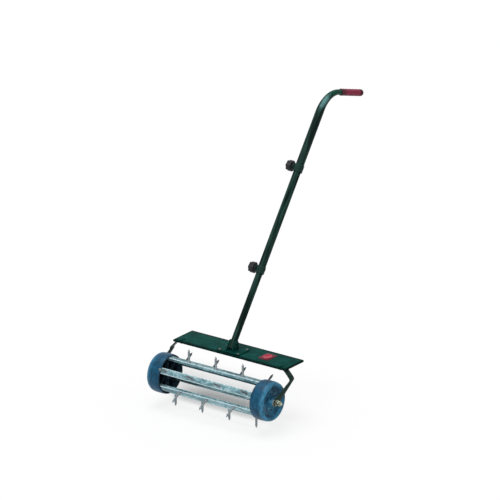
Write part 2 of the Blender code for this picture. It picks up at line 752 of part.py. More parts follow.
grip_start = bend_end + grip_direction * (GRIP_REACH - GRIP_LENGTH + GAP)
grip_place = Matrix.Translation(grip_start) @ Matrix.Rotation(-turned, 4, "X")
piece("hand_grip", hand_grip(), CRIMSON, upper_slide, grip_place)


# Drum: everything here turns on the axle. Local Z of a bar points outwards.
drum_axis = empty("drum_axis", origin)


def bar_section():
    """Outline the channel, open towards the axle, with its first axis along Y."""
    half = BAR_WIDTH / 2
    inner = half - BAR_SHEET
    top = BAR_OUTER_RADIUS
    fold = BAR_FOLD_RADIUS
    return [
        (half, top - BAR_DEPTH),
        (half, top - fold),
        (half - fold * 0.3, top - fold * 0.3),
        (half - fold, top),
        (fold - half, top),
        (fold * 0.3 - half, top - fold * 0.3),
        (-half, top - fold),
        (-half, top - BAR_DEPTH),
        (-inner, top - BAR_DEPTH),
        (-inner, top - BAR_SHEET),
        (inner, top - BAR_SHEET),
        (inner, top - BAR_DEPTH),
    ]


rim_inside = max(math.hypot(*corner) for corner in bar_section()) + GAP
wheel_radius = rim_inside + RIM_WALL


def wheel_body():
    """Turn the wheel about local Z, its hollow side at 0 and its dished side up."""
    bore = BUSH_RADIUS + GAP
    far = WHEEL_WIDTH
    web_top = WEB_DEPTH + WEB_WALL
    crown = wheel_radius - WHEEL_CROWN
    dish = rim_inside - WHEEL_EDGE
    profile = [
        (bore, HUB_RECESS),
        (HUB_RADIUS, HUB_RECESS),
        (HUB_RADIUS, WEB_DEPTH),
        (rim_inside, WEB_DEPTH),
        (rim_inside, 0),
        (crown - WHEEL_EDGE / 4, 0),
        (crown, WHEEL_EDGE / 4),
        (wheel_radius, far * 0.3),
        (wheel_radius, far * 0.6),
        (crown, far - WHEEL_EDGE),
        (crown - WHEEL_EDGE * 0.3, far - WHEEL_EDGE * 0.35),
        (crown - WHEEL_EDGE, far),
        (dish, far),
        (dish - DISH_SLOPE, web_top),
        (HUB_RADIUS + DISH_SLOPE / 2, web_top),
        (HUB_RADIUS, far + HUB_PROUD - DISH_SLOPE / 3),
        (HUB_RADIUS - DISH_SLOPE / 4, far + HUB_PROUD),
        (bore, far + HUB_PROUD),
    ]
    body = lathe(profile, WHEEL_FACETS)
    root = HUB_RADIUS - RIB_WALL / 2
    socket_low = BAR_OUTER_RADIUS - BAR_DEPTH - SOCKET_SPARE
    socket_high = BAR_OUTER_RADIUS - BAR_SHEET - GAP
    socket_half = BAR_WIDTH / 2 - BAR_SHEET - GAP
    tip = (socket_low + socket_high) / 2
    rib_shape = rounded_rectangle((root, -RIB_WALL / 2), (tip, RIB_WALL / 2), RIB_WALL / 8, 1)
    rib = placed(prism(rib_shape, WEB_DEPTH + WEB_WALL / 2 - RIB_RECESS), shift(z=RIB_RECESS))
    socket_shape = rounded_rectangle(
        (socket_low, -socket_half), (socket_high, socket_half), BAR_SHEET, 1
    )
    socket = prism(socket_shape, SOCKET_LENGTH + WEB_WALL / 2)
    spoke = union(rib, placed(socket, shift(z=WEB_DEPTH - SOCKET_LENGTH)))
    spokes = []
    for index in range(BAR_COUNT):
        spokes.append(placed(spoke, Matrix.Rotation(math.tau * index / BAR_COUNT, 4, "Z")))
    return union(body, joined(spokes))


def wheel_bush():
    """Make a flanged bush along local Z for the whole length of the hub."""
    flange = WHEEL_WIDTH + HUB_PROUD + GAP
    profile = [
        (axle_bore, HUB_RECESS),
        (BUSH_RADIUS, HUB_RECESS),
        (BUSH_RADIUS, flange),
        (BUSH_FLANGE_RADIUS, flange),
        (BUSH_FLANGE_RADIUS, flange + BUSH_FLANGE),
        (axle_bore, flange + BUSH_FLANGE),
    ]
    return lathe(profile, 2 * FASTENER_FACETS)


bar_angles = [FIRST_BAR_ANGLE + 360 * index / BAR_COUNT for index in range(BAR_COUNT)]
bar_turns = [Matrix.Rotation(math.radians(angle - 90), 4, "X") for angle in bar_angles]
wheel_places = [
    bar_turns[0] @ along_x(WHEEL_INNER_X),
    bar_turns[0] @ along_minus_x(-WHEEL_INNER_X),
]
pieces(("wheel_right", "wheel_left"), wheel_body(), WHEEL_BLUE, drum_axis, wheel_places)
bushes = ("wheel_bush_right", "wheel_bush_left")
pieces(bushes, wheel_bush(), NYLON, drum_axis, wheel_places)


def spike_bar(count):
    """Make one channel with a row of spikes welded on it, evenly spaced about its middle."""
    stand = Matrix(((0, 0, 1, -BAR_END_X), (1, 0, 0, 0), (0, 1, 0, 0), (0, 0, 0, 1)))
    bar = placed(prism(bar_section(), 2 * BAR_END_X), stand)
    weld_top = BAR_OUTER_RADIUS + SPIKE_WELD_HEIGHT
    profile = [
        (0, BAR_OUTER_RADIUS - BAR_SHEET / 2),
        (SPIKE_WELD_RADIUS, BAR_OUTER_RADIUS - BAR_SHEET / 2),
        (SPIKE_WELD_RADIUS, BAR_OUTER_RADIUS + SPIKE_WELD_HEIGHT / 4),
        (SPIKE_RADIUS, weld_top),
        (SPIKE_RADIUS, SPIKE_TIP_RADIUS - SPIKE_POINT_LENGTH),
        (SPIKE_POINT_RADIUS, SPIKE_TIP_RADIUS),
        (0, SPIKE_TIP_RADIUS),
    ]
    spike = lathe(profile, FASTENER_FACETS, closed=False)
    stations = [(place - (count - 1) / 2) * SPIKE_PITCH for place in range(count)]
    return union(bar, joined([placed(spike, shift(x)) for x in stations]))


for first, count in ((0, SPIKE_ROW_LONG), (1, SPIKE_ROW_SHORT)):
    names = ["spike_bar_" + str(index + 1) for index in range(first, BAR_COUNT, 2)]
    pieces(names, spike_bar(count), GALVANISED, drum_axis, bar_turns[first::2])


def stand_on_ground():
    """Move the whole object so that the frame's origin is under the middle of its box."""
    bpy.context.view_layer.update()
    corners = []
    for item in bpy.data.objects:
        if item.type == "MESH":
            corners += [item.matrix_world @ vertex.co for vertex in item.data.vertices]
    low = Vector([min(corner[axis] for corner in corners) for axis in range(3)])
    high = Vector([max(corner[axis] for corner in corners) for axis in range(3)])
    middle = (low + high) / 2
    origin.location -= Vector((middle.x, middle.y, low.z))
    bpy.context.view_layer.update()


stand_on_ground()
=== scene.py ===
"""Lawn spike aerator: the finished surfaces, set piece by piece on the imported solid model."""

import math

import bmesh
import bpy
from mathutils import Matrix, Vector


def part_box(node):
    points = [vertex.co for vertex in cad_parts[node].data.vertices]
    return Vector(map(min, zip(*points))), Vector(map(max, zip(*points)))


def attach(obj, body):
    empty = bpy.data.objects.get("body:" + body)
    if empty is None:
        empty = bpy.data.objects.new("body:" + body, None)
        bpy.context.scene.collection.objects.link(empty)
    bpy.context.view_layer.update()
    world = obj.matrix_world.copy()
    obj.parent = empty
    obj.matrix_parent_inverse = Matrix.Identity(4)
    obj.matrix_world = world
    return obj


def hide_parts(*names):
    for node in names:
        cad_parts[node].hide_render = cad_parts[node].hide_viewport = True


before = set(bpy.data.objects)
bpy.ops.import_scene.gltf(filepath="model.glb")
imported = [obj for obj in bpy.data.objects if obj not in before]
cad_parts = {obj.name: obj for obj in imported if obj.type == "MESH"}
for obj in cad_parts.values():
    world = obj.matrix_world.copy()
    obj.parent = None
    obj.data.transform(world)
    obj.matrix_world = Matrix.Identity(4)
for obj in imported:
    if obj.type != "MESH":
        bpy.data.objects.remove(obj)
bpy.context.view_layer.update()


# Camera, floor and light

# The aerator is seen from its right-hand wheel, a little above, by a very long lens far away.
# It stands on a white studio sweep under a broad lamp overhead and a softer one beside the
# camera, in a dim white surround.

axle_low, axle_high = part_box("axle")
axle_middle = (axle_low + axle_high) / 2

camera_turn = math.radians(36.5)
camera_height = math.radians(20.4)
camera_distance = 30.0
looked_at = axle_middle + Vector((0.0, 0.2155, 0.4823))
backwards = Vector((
    math.sin(camera_turn) * math.cos(camera_height),
    -math.cos(camera_turn) * math.cos(camera_height),
    math.sin(camera_height),
))


def aim(name, data, place, direction):
    """Stand a camera or a lamp at a place, pointed along a direction."""
    holder = bpy.data.objects.new(name, data)
    holder.location = place
    holder.rotation_mode = "QUATERNION"
    holder.rotation_quaternion = direction.to_track_quat("-Z", "Y")
    bpy.context.scene.collection.objects.link(holder)
    return holder


camera_data = bpy.data.cameras.new("studio_camera")
camera_data.sensor_width = 36.0
camera_data.lens = 576.0
camera_data.clip_end = 200.0
bpy.context.scene.camera = aim("studio_camera", camera_data,
                               looked_at + backwards * camera_distance, -backwards)
bpy.context.scene.view_settings.view_transform = "Standard"


def linear(code):
    """Turn an sRGB hex colour into the linear values that a shader reads."""
    channels = [int(code[place:place + 2], 16) / 255 for place in (0, 2, 4)]
    return [*[value / 12.92 if value <= 0.04045 else ((value + 0.055) / 1.055) ** 2.4
              for value in channels], 1.0]


def connect(tree, node, links):
    """Link sources to a node's inputs: each is a socket, or a node for its first live output."""
    for name, source in links.items():
        if isinstance(source, bpy.types.Node):
            source = next(output for output in source.outputs if output.enabled)
        tree.links.new(source, node.inputs[name])


def add(tree, kind, settings=None, links=None, stops=()):
    """Add one shader node, set its sockets, properties and colour stops, and link its inputs.

    Text given for a socket is a hex colour."""
    made = tree.nodes.new("ShaderNode" + kind)
    for name, value in (settings or {}).items():
        if isinstance(name, int) or name in made.inputs:
            made.inputs[name].default_value = linear(value) if isinstance(value, str) else value
        else:
            setattr(made, name, value)
    for number, (position, code) in enumerate(stops):
        ramp = made.color_ramp.elements
        stop = ramp[number] if number < 2 else ramp.new(position)
        stop.position = position
        stop.color = linear(code)
    connect(tree, made, links or {})
    return made


def seen_ray(tree):
    """Give 1 where the eye, gloss or glass looks at a surface, and 0 where it only gives light."""
    ray = add(tree, "LightPath")
    either = add(tree, "Math", {"operation": "MAXIMUM"},
                 {0: ray.outputs["Is Camera Ray"], 1: ray.outputs["Is Glossy Ray"]})
    return add(tree, "Math", {"operation": "MAXIMUM"},
               {0: either, 1: ray.outputs["Is Transmission Ray"]})


# White floor paint. Seen by the eye or in gloss, it glows white, and less so around the drum, where
# the paint's own light keeps the shadows. In a band behind the drum, which shows between its bars,
# the glow drops much further: a painted shadow, darker than the floor even where no shadow falls.
floor_paint = bpy.data.materials.new("white_floor_paint")
floor_paint.use_nodes = True
tree = floor_paint.node_tree
tree.nodes.clear()
place = add(tree, "TexCoord").outputs["Object"]
under_drum = add(tree, "Mapping", {"Location": (0.0, -axle_middle.y, 0.0)}, {"Vector": place})
far = add(tree, "VectorMath", {"operation": "LENGTH"}, {0: under_drum})
round_share = add(tree, "MapRange", {"From Min": 0.25, "From Max": 0.9, "To Min": 0.80},
                  {"Value": far})


def painted_shadow_edge(direction, start, finish, at_start, at_finish):
    """Fade the painted shadow band in or out along a direction over the floor."""
    along = add(tree, "VectorMath", {"operation": "DOT_PRODUCT", 1: direction}, {0: under_drum})
    return add(tree, "MapRange", {
        "interpolation_type": "SMOOTHSTEP", "From Min": start, "From Max": finish,
        "To Min": at_start, "To Max": at_finish}, {"Value": along})


# The painted shadow band runs from under the drum to half a metre behind it, slanted along the
# view.
slant = math.tan(camera_turn)
inside = painted_shadow_edge((0.0, 1.0, 0.0), 0.0, 0.14, 0.0, 1.0)
for edge in (painted_shadow_edge((0.0, 1.0, 0.0), 0.26, 0.52, 1.0, 0.0),
             painted_shadow_edge((1.0, slant, 0.0), -0.34, -0.12, 0.0, 1.0),
             painted_shadow_edge((1.0, slant, 0.0), 0.12, 0.34, 1.0, 0.0)):
    inside = add(tree, "Math", {"operation": "MULTIPLY"}, {0: inside, 1: edge})
painted_shadow_share = add(tree, "MapRange", {"To Min": 1.0, "To Max": 0.10}, {"Value": inside})
share = add(tree, "Math", {"operation": "MINIMUM"}, {0: round_share, 1: painted_shadow_share})
share = add(tree, "Math", {"operation": "MULTIPLY"}, {0: share, 1: seen_ray(tree)})
paint = add(tree, "BsdfDiffuse", {"Color": "f6f7f7"})
glow = add(tree, "Emission", {"Color": "ffffff", "Strength": 1.02})
both = add(tree, "MixShader", links={0: share, 1: paint, 2: glow})
add(tree, "OutputMaterial", links={"Surface": both})

work = bmesh.new()
bmesh.ops.create_grid(work, x_segments=8, y_segments=8, size=30.0)
floor_mesh = bpy.data.meshes.new("studio_floor")
work.to_mesh(floor_mesh)
work.free()
floor_mesh.materials.append(floor_paint)
floor = bpy.data.objects.new("studio_floor", floor_mesh)
bpy.context.scene.collection.objects.link(floor)

# The surround is pure white to the eye, in gloss and through glass, and dimmer as a light.
surround = bpy.data.worlds.new("white_surround")
bpy.context.scene.world = surround
surround.use_nodes = True
tree = surround.node_tree
tree.nodes.clear()
level = add(tree, "MapRange", {"To Min": 0.28}, {"Value": seen_ray(tree)})
sky = add(tree, "Background", {"Color": "ffffff"}, {"Strength": level})
add(tree, "OutputWorld", links={"Surface": sky})

# Two square softboxes, aimed at the middle of the aerator.
for name, place, size, power in (("overhead_softbox", (-0.6, -0.6, 4.2), 2.4, 95.0),
                                 ("front_softbox", (1.2, -4.6, 2.6), 1.8, 80.0)):
    softbox = bpy.data.lights.new(name, "AREA")
    softbox.size = size
    softbox.energy = power
    aim(name, softbox, place, looked_at - Vector(place))


# Axle

# A 12 mm bright steel rod through both wheels, zinc plated, with a rolled thread at each end.
# The thread gives fine rings beside the nuts; plating gives a dull silver with a warm tinge.

def new_finish(name, colour, roughness, metallic=0.0, shine=0.5):
    """Start a material: its shader holds what is the same all over the surface."""
    material = bpy.data.materials.new(name)
    material.use_nodes = True
    tree = material.node_tree
    shader = tree.nodes["Principled BSDF"]
    for socket, value in (("Base Color", linear(colour)), ("Roughness", roughness),
                          ("Metallic", metallic), ("Specular IOR Level", shine)):
        shader.inputs[socket].default_value = value
    place = add(tree, "TexCoord").outputs["Object"]
    return material, tree, shader, place


def cloud(tree, shader, place, scale, detail, *stops, distortion=0.0):
    """Cloud the surface between colour stops by a noise pattern, and give pattern and colour.

    Where more is laid over the clouds, its colour is linked in their place."""
    pattern = add(tree, "TexNoise", {"Scale": scale, "Detail": detail, "Distortion": distortion},
                  {"Vector": place})
    tint = add(tree, "ValToRGB", links={"Fac": pattern}, stops=stops)
    connect(tree, shader, {"Base Color": tint})
    return pattern, tint


def dull(tree, shader, pattern, low, high):
    """Let the roughness follow a pattern, from low where it is 0 to high where it is 1."""
    dullness = add(tree, "MapRange", {"To Min": low, "To Max": high}, {"Value": pattern})
    connect(tree, shader, {"Roughness": dullness})


# Zinc plating over bright steel: cloudy patches about 4 mm across, some of them duller.
zinc_plate, tree, shader, place = new_finish("zinc_plated_steel", "939985", 0.34, 0.9)
patches = cloud(tree, shader, place, 240.0, 3.0, (0.35, "7a806f"), (0.68, "a8ae9c"))[0]
dull(tree, shader, patches, 0.26, 0.46)


def turned(profile, facets=64, closed=True):
    """Turn a profile of (radius, height) points about local Z. An open one ends on the axis."""
    work = bmesh.new()
    points = [work.verts.new((radius, 0.0, height)) for radius, height in profile]
    runs = list(zip(points, points[1:])) + ([(points[-1], points[0])] if closed else [])
    edges = [work.edges.new(run) for run in runs]
    bmesh.ops.spin(work, geom=points + edges, axis=(0, 0, 1), cent=(0, 0, 0), angle=math.tau,
                   steps=facets, use_merge=True)
    bmesh.ops.remove_doubles(work, verts=work.verts, dist=0.000002)
    bmesh.ops.recalc_face_normals(work, faces=work.faces)
    return work


def fit(work, name, finish, body, nodes, place, smooth=40.0, trim=None):
    """Turn a working mesh into a piece in its place, riding on a body of the solid model.

    Faces marked 1 in the working mesh take the trim finish."""
    mesh = bpy.data.meshes.new(name)
    work.to_mesh(mesh)
    mesh.transform(place)
    if place.determinant() < 0:
        mesh.flip_normals()
    mesh.shade_smooth()
    mesh.set_sharp_from_angle(angle=math.radians(smooth))
    mesh.materials.append(finish)
    if trim is not None:
        mesh.materials.append(trim)
    made = bpy.data.objects.new(name, mesh)
    bpy.context.scene.collection.objects.link(made)
    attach(made, body)
    if nodes:
        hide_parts(*nodes)


def outwards(side, x=0.0):
    """Lay local Z along the axle, to its right (1) or left (-1) end, from x on its middle line."""
    return (Matrix.Translation(axle_middle + Vector((x, 0, 0)))
            @ Matrix.Rotation(side * math.pi / 2, 4, "Y"))


def thread(radius, start, end, pitch, depth):
    """List the crests and roots of a screw thread, drawn as rings."""
    turns = int((end - start) / pitch)
    points = []
    for turn in range(turns):
        points.append((radius, start + turn * pitch))
        points.append((radius - depth, start + (turn + 0.5) * pitch))
    return points + [(radius, start + turns * pitch)]


axle_ends = ((1, "right"), (-1, "left"))
axle_radius = 0.006
axle_half = (axle_high.x - axle_low.x) / 2
axle_chamfer = 0.0012
thread_start = 0.272
thread_pitch = 0.00175
thread_depth = 0.0007
right_half = [(axle_radius, thread_start)]
right_half += thread(axle_radius, thread_start + 0.001, axle_half - 0.0015, thread_pitch,
                     thread_depth)
right_half += [(axle_radius - axle_chamfer, axle_half), (0.0, axle_half)]
left_half = [(radius, -height) for radius, height in reversed(right_half)]
work = turned(left_half + right_half, 48, closed=False)
fit(work, "axle_rod", zinc_plate, "frame", ["axle"], outwards(1))
work.free()


# Axle washers and nuts

# Pressed flat washers on both sides of each arm, then a full nut locked by a thin one.
# Zinc plated, with the nuts' corners chamfered off as on any turned nut.

def hex_nut(flats, height, bore):
    """Shape a turned ring into a hexagon with chamfered corners."""
    rim = flats / math.sqrt(3)
    chamfer = height * 0.14
    chamfered = flats / 2 * 1.015
    work = turned([(bore, 0), (rim, 0), (rim, chamfer), (rim, height - chamfer), (rim, height),
                   (bore, height)], 48)
    for point in work.verts:
        reach = math.hypot(point.co.x, point.co.y)
        if reach < (bore + rim) / 2:
            continue
        turn = math.atan2(point.co.y, point.co.x) % math.radians(60) - math.radians(30)
        limit = flats / 2 / math.cos(turn)
        if min(point.co.z, height - point.co.z) < chamfer / 2:
            limit = min(limit, chamfered)
        point.co.x *= limit / reach
        point.co.y *= limit / reach
    return work


def soften(work, width, segments=2, angle=30.0):
    """Round off every edge that is sharper than an angle, and give the round faces."""
    sharp = [edge for edge in work.edges
             if edge.is_manifold and edge.calc_face_angle() > math.radians(angle)]
    return bmesh.ops.bevel(work, geom=sharp, offset=width, offset_type="OFFSET",
                           segments=segments, profile=0.5, affect="EDGES", material=-1,
                           clamp_overlap=True)["faces"]


gap = 0.0003
washer_radius = 0.012
washer_height = 0.0012
axle_bore = axle_radius + gap
axle_nut_flats = 0.019
axle_nut_height = 0.0095
lock_nut_height = 0.006
washer_work = turned([(axle_bore, 0), (washer_radius, 0), (washer_radius, washer_height),
                      (axle_bore, washer_height)])
soften(washer_work, 0.0003)
nut_work = hex_nut(axle_nut_flats, axle_nut_height, axle_bore)
lock_work = hex_nut(axle_nut_flats, lock_nut_height, axle_bore)
for side, end in axle_ends:
    for kind, shape in (("inner_washer", washer_work), ("outer_washer", washer_work),
                        ("axle_nut", nut_work), ("axle_lock_nut", lock_work)):
        node = kind + "_" + end
        low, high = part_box(node)
        seat = (low.x if side > 0 else high.x) - axle_middle.x
        fit(shape, "fine_" + node, zinc_plate, "frame", [node], outwards(side, seat), 35.0)
for shape in (washer_work, nut_work, lock_work):
    shape.free()


# Wheel bushes

# White acetal bushes, turned and pressed into each hub, with a flange that runs against the
# inner washer. The plastic lets a little light in, so it looks waxy.

acetal, tree, shader, place = new_finish("white_acetal", "d8d6cc", 0.42)
shader.inputs["Subsurface Weight"].default_value = 0.15
shader.inputs["Subsurface Scale"].default_value = 0.002
cloud(tree, shader, place, 180.0, 4.0, (0.30, "bdbab0"), (0.55, "dad8ce"))

wheel_inner = 0.211
hub_top = 0.063
hub_recess = 0.006
bush_radius = 0.0088
flange_radius = 0.014
bush_flange = 0.002
flange_start = hub_top + gap
flange_end = flange_start + bush_flange
work = turned([(axle_bore, hub_recess), (bush_radius, hub_recess), (bush_radius, flange_start),
               (flange_radius, flange_start), (flange_radius, flange_end), (axle_bore, flange_end)])
soften(work, 0.0004)
for side, end in axle_ends:
    fit(work, "bush_" + end, acetal, "drum", ["wheel_bush_" + end],
        outwards(side, side * wheel_inner))
work.free()


# Wheels

# Blue polypropylene mouldings, hollow on the drum side with six spokes that end in blocks for
# the bars, and dished outside round a hub. The tread is polished by use and lightly scuffed.

def relief(tree, shader, place, scale, detail, strength, depth=0.0004):
    """Raise a fine noise pattern on the surface."""
    grain = add(tree, "TexNoise", {"Scale": scale, "Detail": detail}, {"Vector": place})
    raised = add(tree, "Bump", {"Strength": strength, "Distance": depth}, {"Height": grain})
    connect(tree, shader, {"Normal": raised})


# Moulded polypropylene: satin, with faint flow clouds about 25 mm across and scuffs on the tread.
blue_moulding, tree, shader, place = new_finish("blue_polypropylene", "1a5876", 0.36, shine=0.18)
shader.inputs["IOR"].default_value = 1.49
tint = cloud(tree, shader, place, 40.0, 2.0, (0.36, "0c3a54"), (0.66, "125270"),
             distortion=0.6)[1]
# Scuffs run round the tread, so they are short along the axle: 2 mm wide and some 20 mm long.
scuff_place = add(tree, "Mapping", {"Scale": (420.0, 45.0, 45.0)}, {"Vector": place})
scuff = add(tree, "TexNoise", {"Scale": 1.0, "Detail": 5.0, "Roughness": 0.7},
            {"Vector": scuff_place})
scuffed = add(tree, "ValToRGB", links={"Fac": scuff}, stops=((0.58, "000000"), (0.74, "ffffff")))
pale = add(tree, "Mix", {"data_type": "RGBA", "B": "3c86a8"}, {"Factor": scuffed, "A": tint})
# Painted highlight: the outer shoulder and the face are streaked paler along the scuff pattern.
off_axle = add(tree, "Mapping", {"Location": (0.0, -axle_middle.y, -axle_middle.z)},
               {"Vector": place})
apart = add(tree, "SeparateXYZ", links={0: off_axle})
apart_x = add(tree, "Math", {"operation": "ABSOLUTE"}, {0: apart.outputs["X"]})
shoulder = add(tree, "MapRange", {"From Min": 0.250, "From Max": 0.266}, {"Value": apart_x})
flat_place = add(tree, "VectorMath", {"operation": "MULTIPLY", 1: (0.0, 1.0, 1.0)}, {0: off_axle})
from_hub = add(tree, "VectorMath", {"operation": "LENGTH"}, {0: flat_place})
on_face = add(tree, "MapRange", {"From Min": 0.050, "From Max": 0.066, "To Min": 0.9,
                                 "To Max": 0.0}, {"Value": from_hub})
outer = add(tree, "Math", {"operation": "MAXIMUM"}, {0: shoulder, 1: on_face})
highlight_pattern = add(tree, "MapRange", {"From Min": 0.40, "From Max": 0.66, "To Min": 0.15},
             {"Value": scuff})
face_painted_highlight = add(tree, "Math", {"operation": "MULTIPLY"}, {0: outer, 1: highlight_pattern})
face_highlighted = add(tree, "Mix", {"data_type": "RGBA", "B": "4e9cc2"}, {"Factor": face_painted_highlight, "A": pale})
# Grease from the axle smears the face in darker patches about 15 mm across.
grease = add(tree, "TexNoise", {"Scale": 65.0, "Detail": 3.0, "Distortion": 0.5},
             {"Vector": place})
greasy = add(tree, "MapRange", {"From Min": 0.48, "From Max": 0.60}, {"Value": grease})
smear = add(tree, "Math", {"operation": "MULTIPLY"}, {0: on_face, 1: greasy})
smeared = add(tree, "Mix", {"data_type": "RGBA", "B": "08263a"}, {"Factor": smear, "A": face_highlighted})
# Painted shade: the 3 mm beside the drum, where wheel and drum meet, is nearly black.
inner = add(tree, "MapRange", {"From Min": 0.2125, "From Max": 0.2150, "To Min": 0.8,
                               "To Max": 0.0}, {"Value": apart_x})
shade_edged = add(tree, "Mix", {"data_type": "RGBA", "B": "0a1a26"}, {"Factor": inner, "A": smeared})
connect(tree, shader, {"Base Color": shade_edged})
dull(tree, shader, scuff, 0.30, 0.52)
relief(tree, shader, place, 900.0, 2.0, 0.12)

# The same moulding inside the hollow, near-black and dull, clouded about 4 mm across: painted
# shade.
hollow_shade_moulding, tree, shader, place = new_finish("hollow_painted_shade_polypropylene", "0c1820", 0.62,
                                                  shine=0.06)
cloud(tree, shader, place, 240.0, 4.0, (0.34, "101a24"), (0.68, "2c4250"))

wheel_width = 0.060
wheel_bore = bush_radius + gap
hub_radius = 0.019
web_depth = 0.036
web_wall = 0.004
web_top = web_depth + web_wall
rim_wall = 0.0048
wheel_low, wheel_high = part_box("wheel_right")
wheel_radius = (wheel_high.z - wheel_low.z) / 2
rim_inside = wheel_radius - rim_wall
bars = 6
bar_outer = 0.0712
bar_depth = 0.011
bar_sheet = 0.0015
bar_width = 0.024
# The tread, from the drum side to the face: each ring's drop under the full radius, its height.
tread = [(0.0035, 0.0), (0.0018, 0.0018), (0.0006, 0.008), (0.0001, 0.018), (0.0, 0.029),
         (0.0002, 0.039), (0.0010, 0.048), (0.0026, 0.0545), (0.0052, 0.0585),
         (0.0086, wheel_width), (0.0110, wheel_width), (0.0124, wheel_width - 0.0014)]
# The hub's round shoulder on the face: each ring's step out from the hub, and its height.
hub_shoulder = [(0.0080, web_top), (0.0040, web_top + 0.0020), (0.0004, hub_top - 0.0024),
                (-0.0016, hub_top - 0.0004), (-0.0034, hub_top)]
wheel_work = turned(
    [(wheel_bore, hub_recess), (hub_radius, hub_recess), (hub_radius, web_depth),
     (rim_inside, web_depth), (rim_inside, 0.0)]
    + [(wheel_radius - drop, height) for drop, height in tread]
    + [(rim_inside - 0.0180, web_top + 0.0016), (rim_inside - 0.0210, web_top)]
    + [(hub_radius + step, height) for step, height in hub_shoulder] + [(wheel_bore, hub_top)],
    144)
# Faces inside the hollow take the painted shade finish.
for face in wheel_work.faces:
    centre = face.calc_center_median()
    if centre.z < web_depth + 0.0001 and centre.to_2d().length < rim_inside + 0.0001:
        face.material_index = 1


def pull(work, step, edges=None):
    """Draw some edges, or else every face, out by a step, and give the points that moved."""
    if edges is None:
        drawn = bmesh.ops.extrude_face_region(work, geom=list(work.faces))["geom"]
    else:
        drawn = bmesh.ops.extrude_edge_only(work, edges=edges)["geom"]
    tips = [item for item in drawn if isinstance(item, bmesh.types.BMVert)]
    bmesh.ops.translate(work, verts=tips, vec=step)
    bmesh.ops.recalc_face_normals(work, faces=work.faces)
    return tips


def flat_prism(outline, height):
    """Raise a flat outline of (x, y) points along Z."""
    work = bmesh.new()
    work.faces.new([work.verts.new((x, y, 0.0)) for x, y in outline])
    pull(work, (0, 0, height))
    return work


def spoke_block(near, far, half, height, rounding, segments):
    """Raise a rounded block that lies outwards along X, in the hollow's painted-shade finish."""
    work = flat_prism([(near, -half), (far, -half), (far, half), (near, half)], height)
    soften(work, rounding, segments)
    for face in work.faces:
        face.material_index = 1
    return work


def absorb(work, other, place=Matrix()):
    """Copy another working mesh into this one, at a place."""
    mesh = bpy.data.meshes.new("absorbed")
    other.to_mesh(mesh)
    mesh.transform(place)
    work.from_mesh(mesh)
    bpy.data.meshes.remove(mesh)


socket_low = bar_outer - bar_depth - 0.003
socket_high = bar_outer - bar_sheet - gap
socket_half = bar_width / 2 - bar_sheet - gap
socket_length = 0.016
rib_half = 0.002
rib_recess = 0.012
rib_shape = spoke_block(hub_radius - 0.002, socket_low + 0.003, rib_half,
                        web_depth + web_wall / 2 - rib_recess, 0.0006, 2)
socket_shape = spoke_block(socket_low, socket_high, socket_half, socket_length + web_wall / 2,
                           0.0010, 3)
for number in range(bars):
    spoke_turn = Matrix.Rotation(math.tau * number / bars, 4, "Z")
    absorb(wheel_work, rib_shape, spoke_turn @ Matrix.Translation((0, 0, rib_recess)))
    absorb(wheel_work, socket_shape,
           spoke_turn @ Matrix.Translation((0, 0, web_depth - socket_length)))
first_bar = math.radians(30.0)
drum_turn = (Matrix.Translation(axle_middle) @ Matrix.Rotation(first_bar - math.pi / 2, 4, "X")
             @ Matrix.Translation(-axle_middle))
for side, end in axle_ends:
    fit(wheel_work, "moulded_wheel_" + end, blue_moulding, "drum",
        ["wheel_" + end], drum_turn @ outwards(side, side * wheel_inner), trim=hollow_shade_moulding)
for shape in (wheel_work, rib_shape, socket_shape):
    shape.free()


# Spike bars

# Six galvanised channels, folded from 1.5 mm sheet, whose ends sit over the wheels' blocks.
# Each carries three or four 9 mm round spikes, welded upright and ground to a point.

# Hot-dip zinc: blue-grey crystals, drawn 9 mm across so that they show, over a soft sheen.
galvanised, tree, shader, place = new_finish("galvanised_steel", "86abb3", 0.34, 0.8)
crystal = add(tree, "TexVoronoi", {"Scale": 110.0}, {"Vector": place})
grey = add(tree, "SeparateColor", links={"Color": crystal.outputs["Color"]})
tint = add(tree, "ValToRGB", links={"Fac": grey}, stops=((0.0, "668f98"), (1.0, "a6c6cd")))
# Weather leaves darker stains along the bars, some 60 mm long and 15 mm across.
stain_place = add(tree, "Mapping", {"Scale": (17.0, 66.0, 66.0)}, {"Vector": place})
stain = add(tree, "TexNoise", {"Scale": 1.0, "Detail": 4.0, "Distortion": 0.4},
            {"Vector": stain_place})
stained = add(tree, "MapRange", {"From Min": 0.46, "From Max": 0.64, "To Max": 0.75},
              {"Value": stain})
weathered = add(tree, "Mix", {"data_type": "RGBA", "B": "3f666d"},
                {"Factor": stained, "A": tint})
connect(tree, shader, {"Base Color": weathered})
dull(tree, shader, grey.outputs[1], 0.28, 0.50)
relief(tree, shader, place, 160.0, 3.0, 0.15, 0.0006)

# The same zinc, painted brighter along the folds: a painted highlight on the bends of the sheet.
fold_highlight_zinc, tree, shader, place = new_finish("fold_painted_highlight_zinc", "dbe8ea", 0.22, 0.8)
cloud(tree, shader, place, 260.0, 4.0, (0.38, "90b0b9"), (0.60, "e0f0f4"))

# Bright drawn rod for the spikes: darker than the zinc, in worn patches about 3 mm across.
spike_steel, tree, shader, place = new_finish("worn_spike_steel", "788186", 0.38, 0.85)
cloud(tree, shader, place, 320.0, 4.0, (0.32, "5b6366"), (0.64, "919a9f"))


def thicken(work, thickness, inside_out):
    """Turn a sheet's faces outwards if they aren't, and give it its thickness inwards."""
    if inside_out:
        bmesh.ops.reverse_faces(work, faces=work.faces)
    bmesh.ops.solidify(work, geom=list(work.faces), thickness=thickness)
    bmesh.ops.recalc_face_normals(work, faces=work.faces)


bar_end = wheel_inner + web_depth - gap
fold_radius = 0.0022
spike_radius = 0.0045
spike_tip = 0.122
spike_point = 0.010
spike_pitch = 0.126
weld_foot = bar_outer - bar_sheet / 2
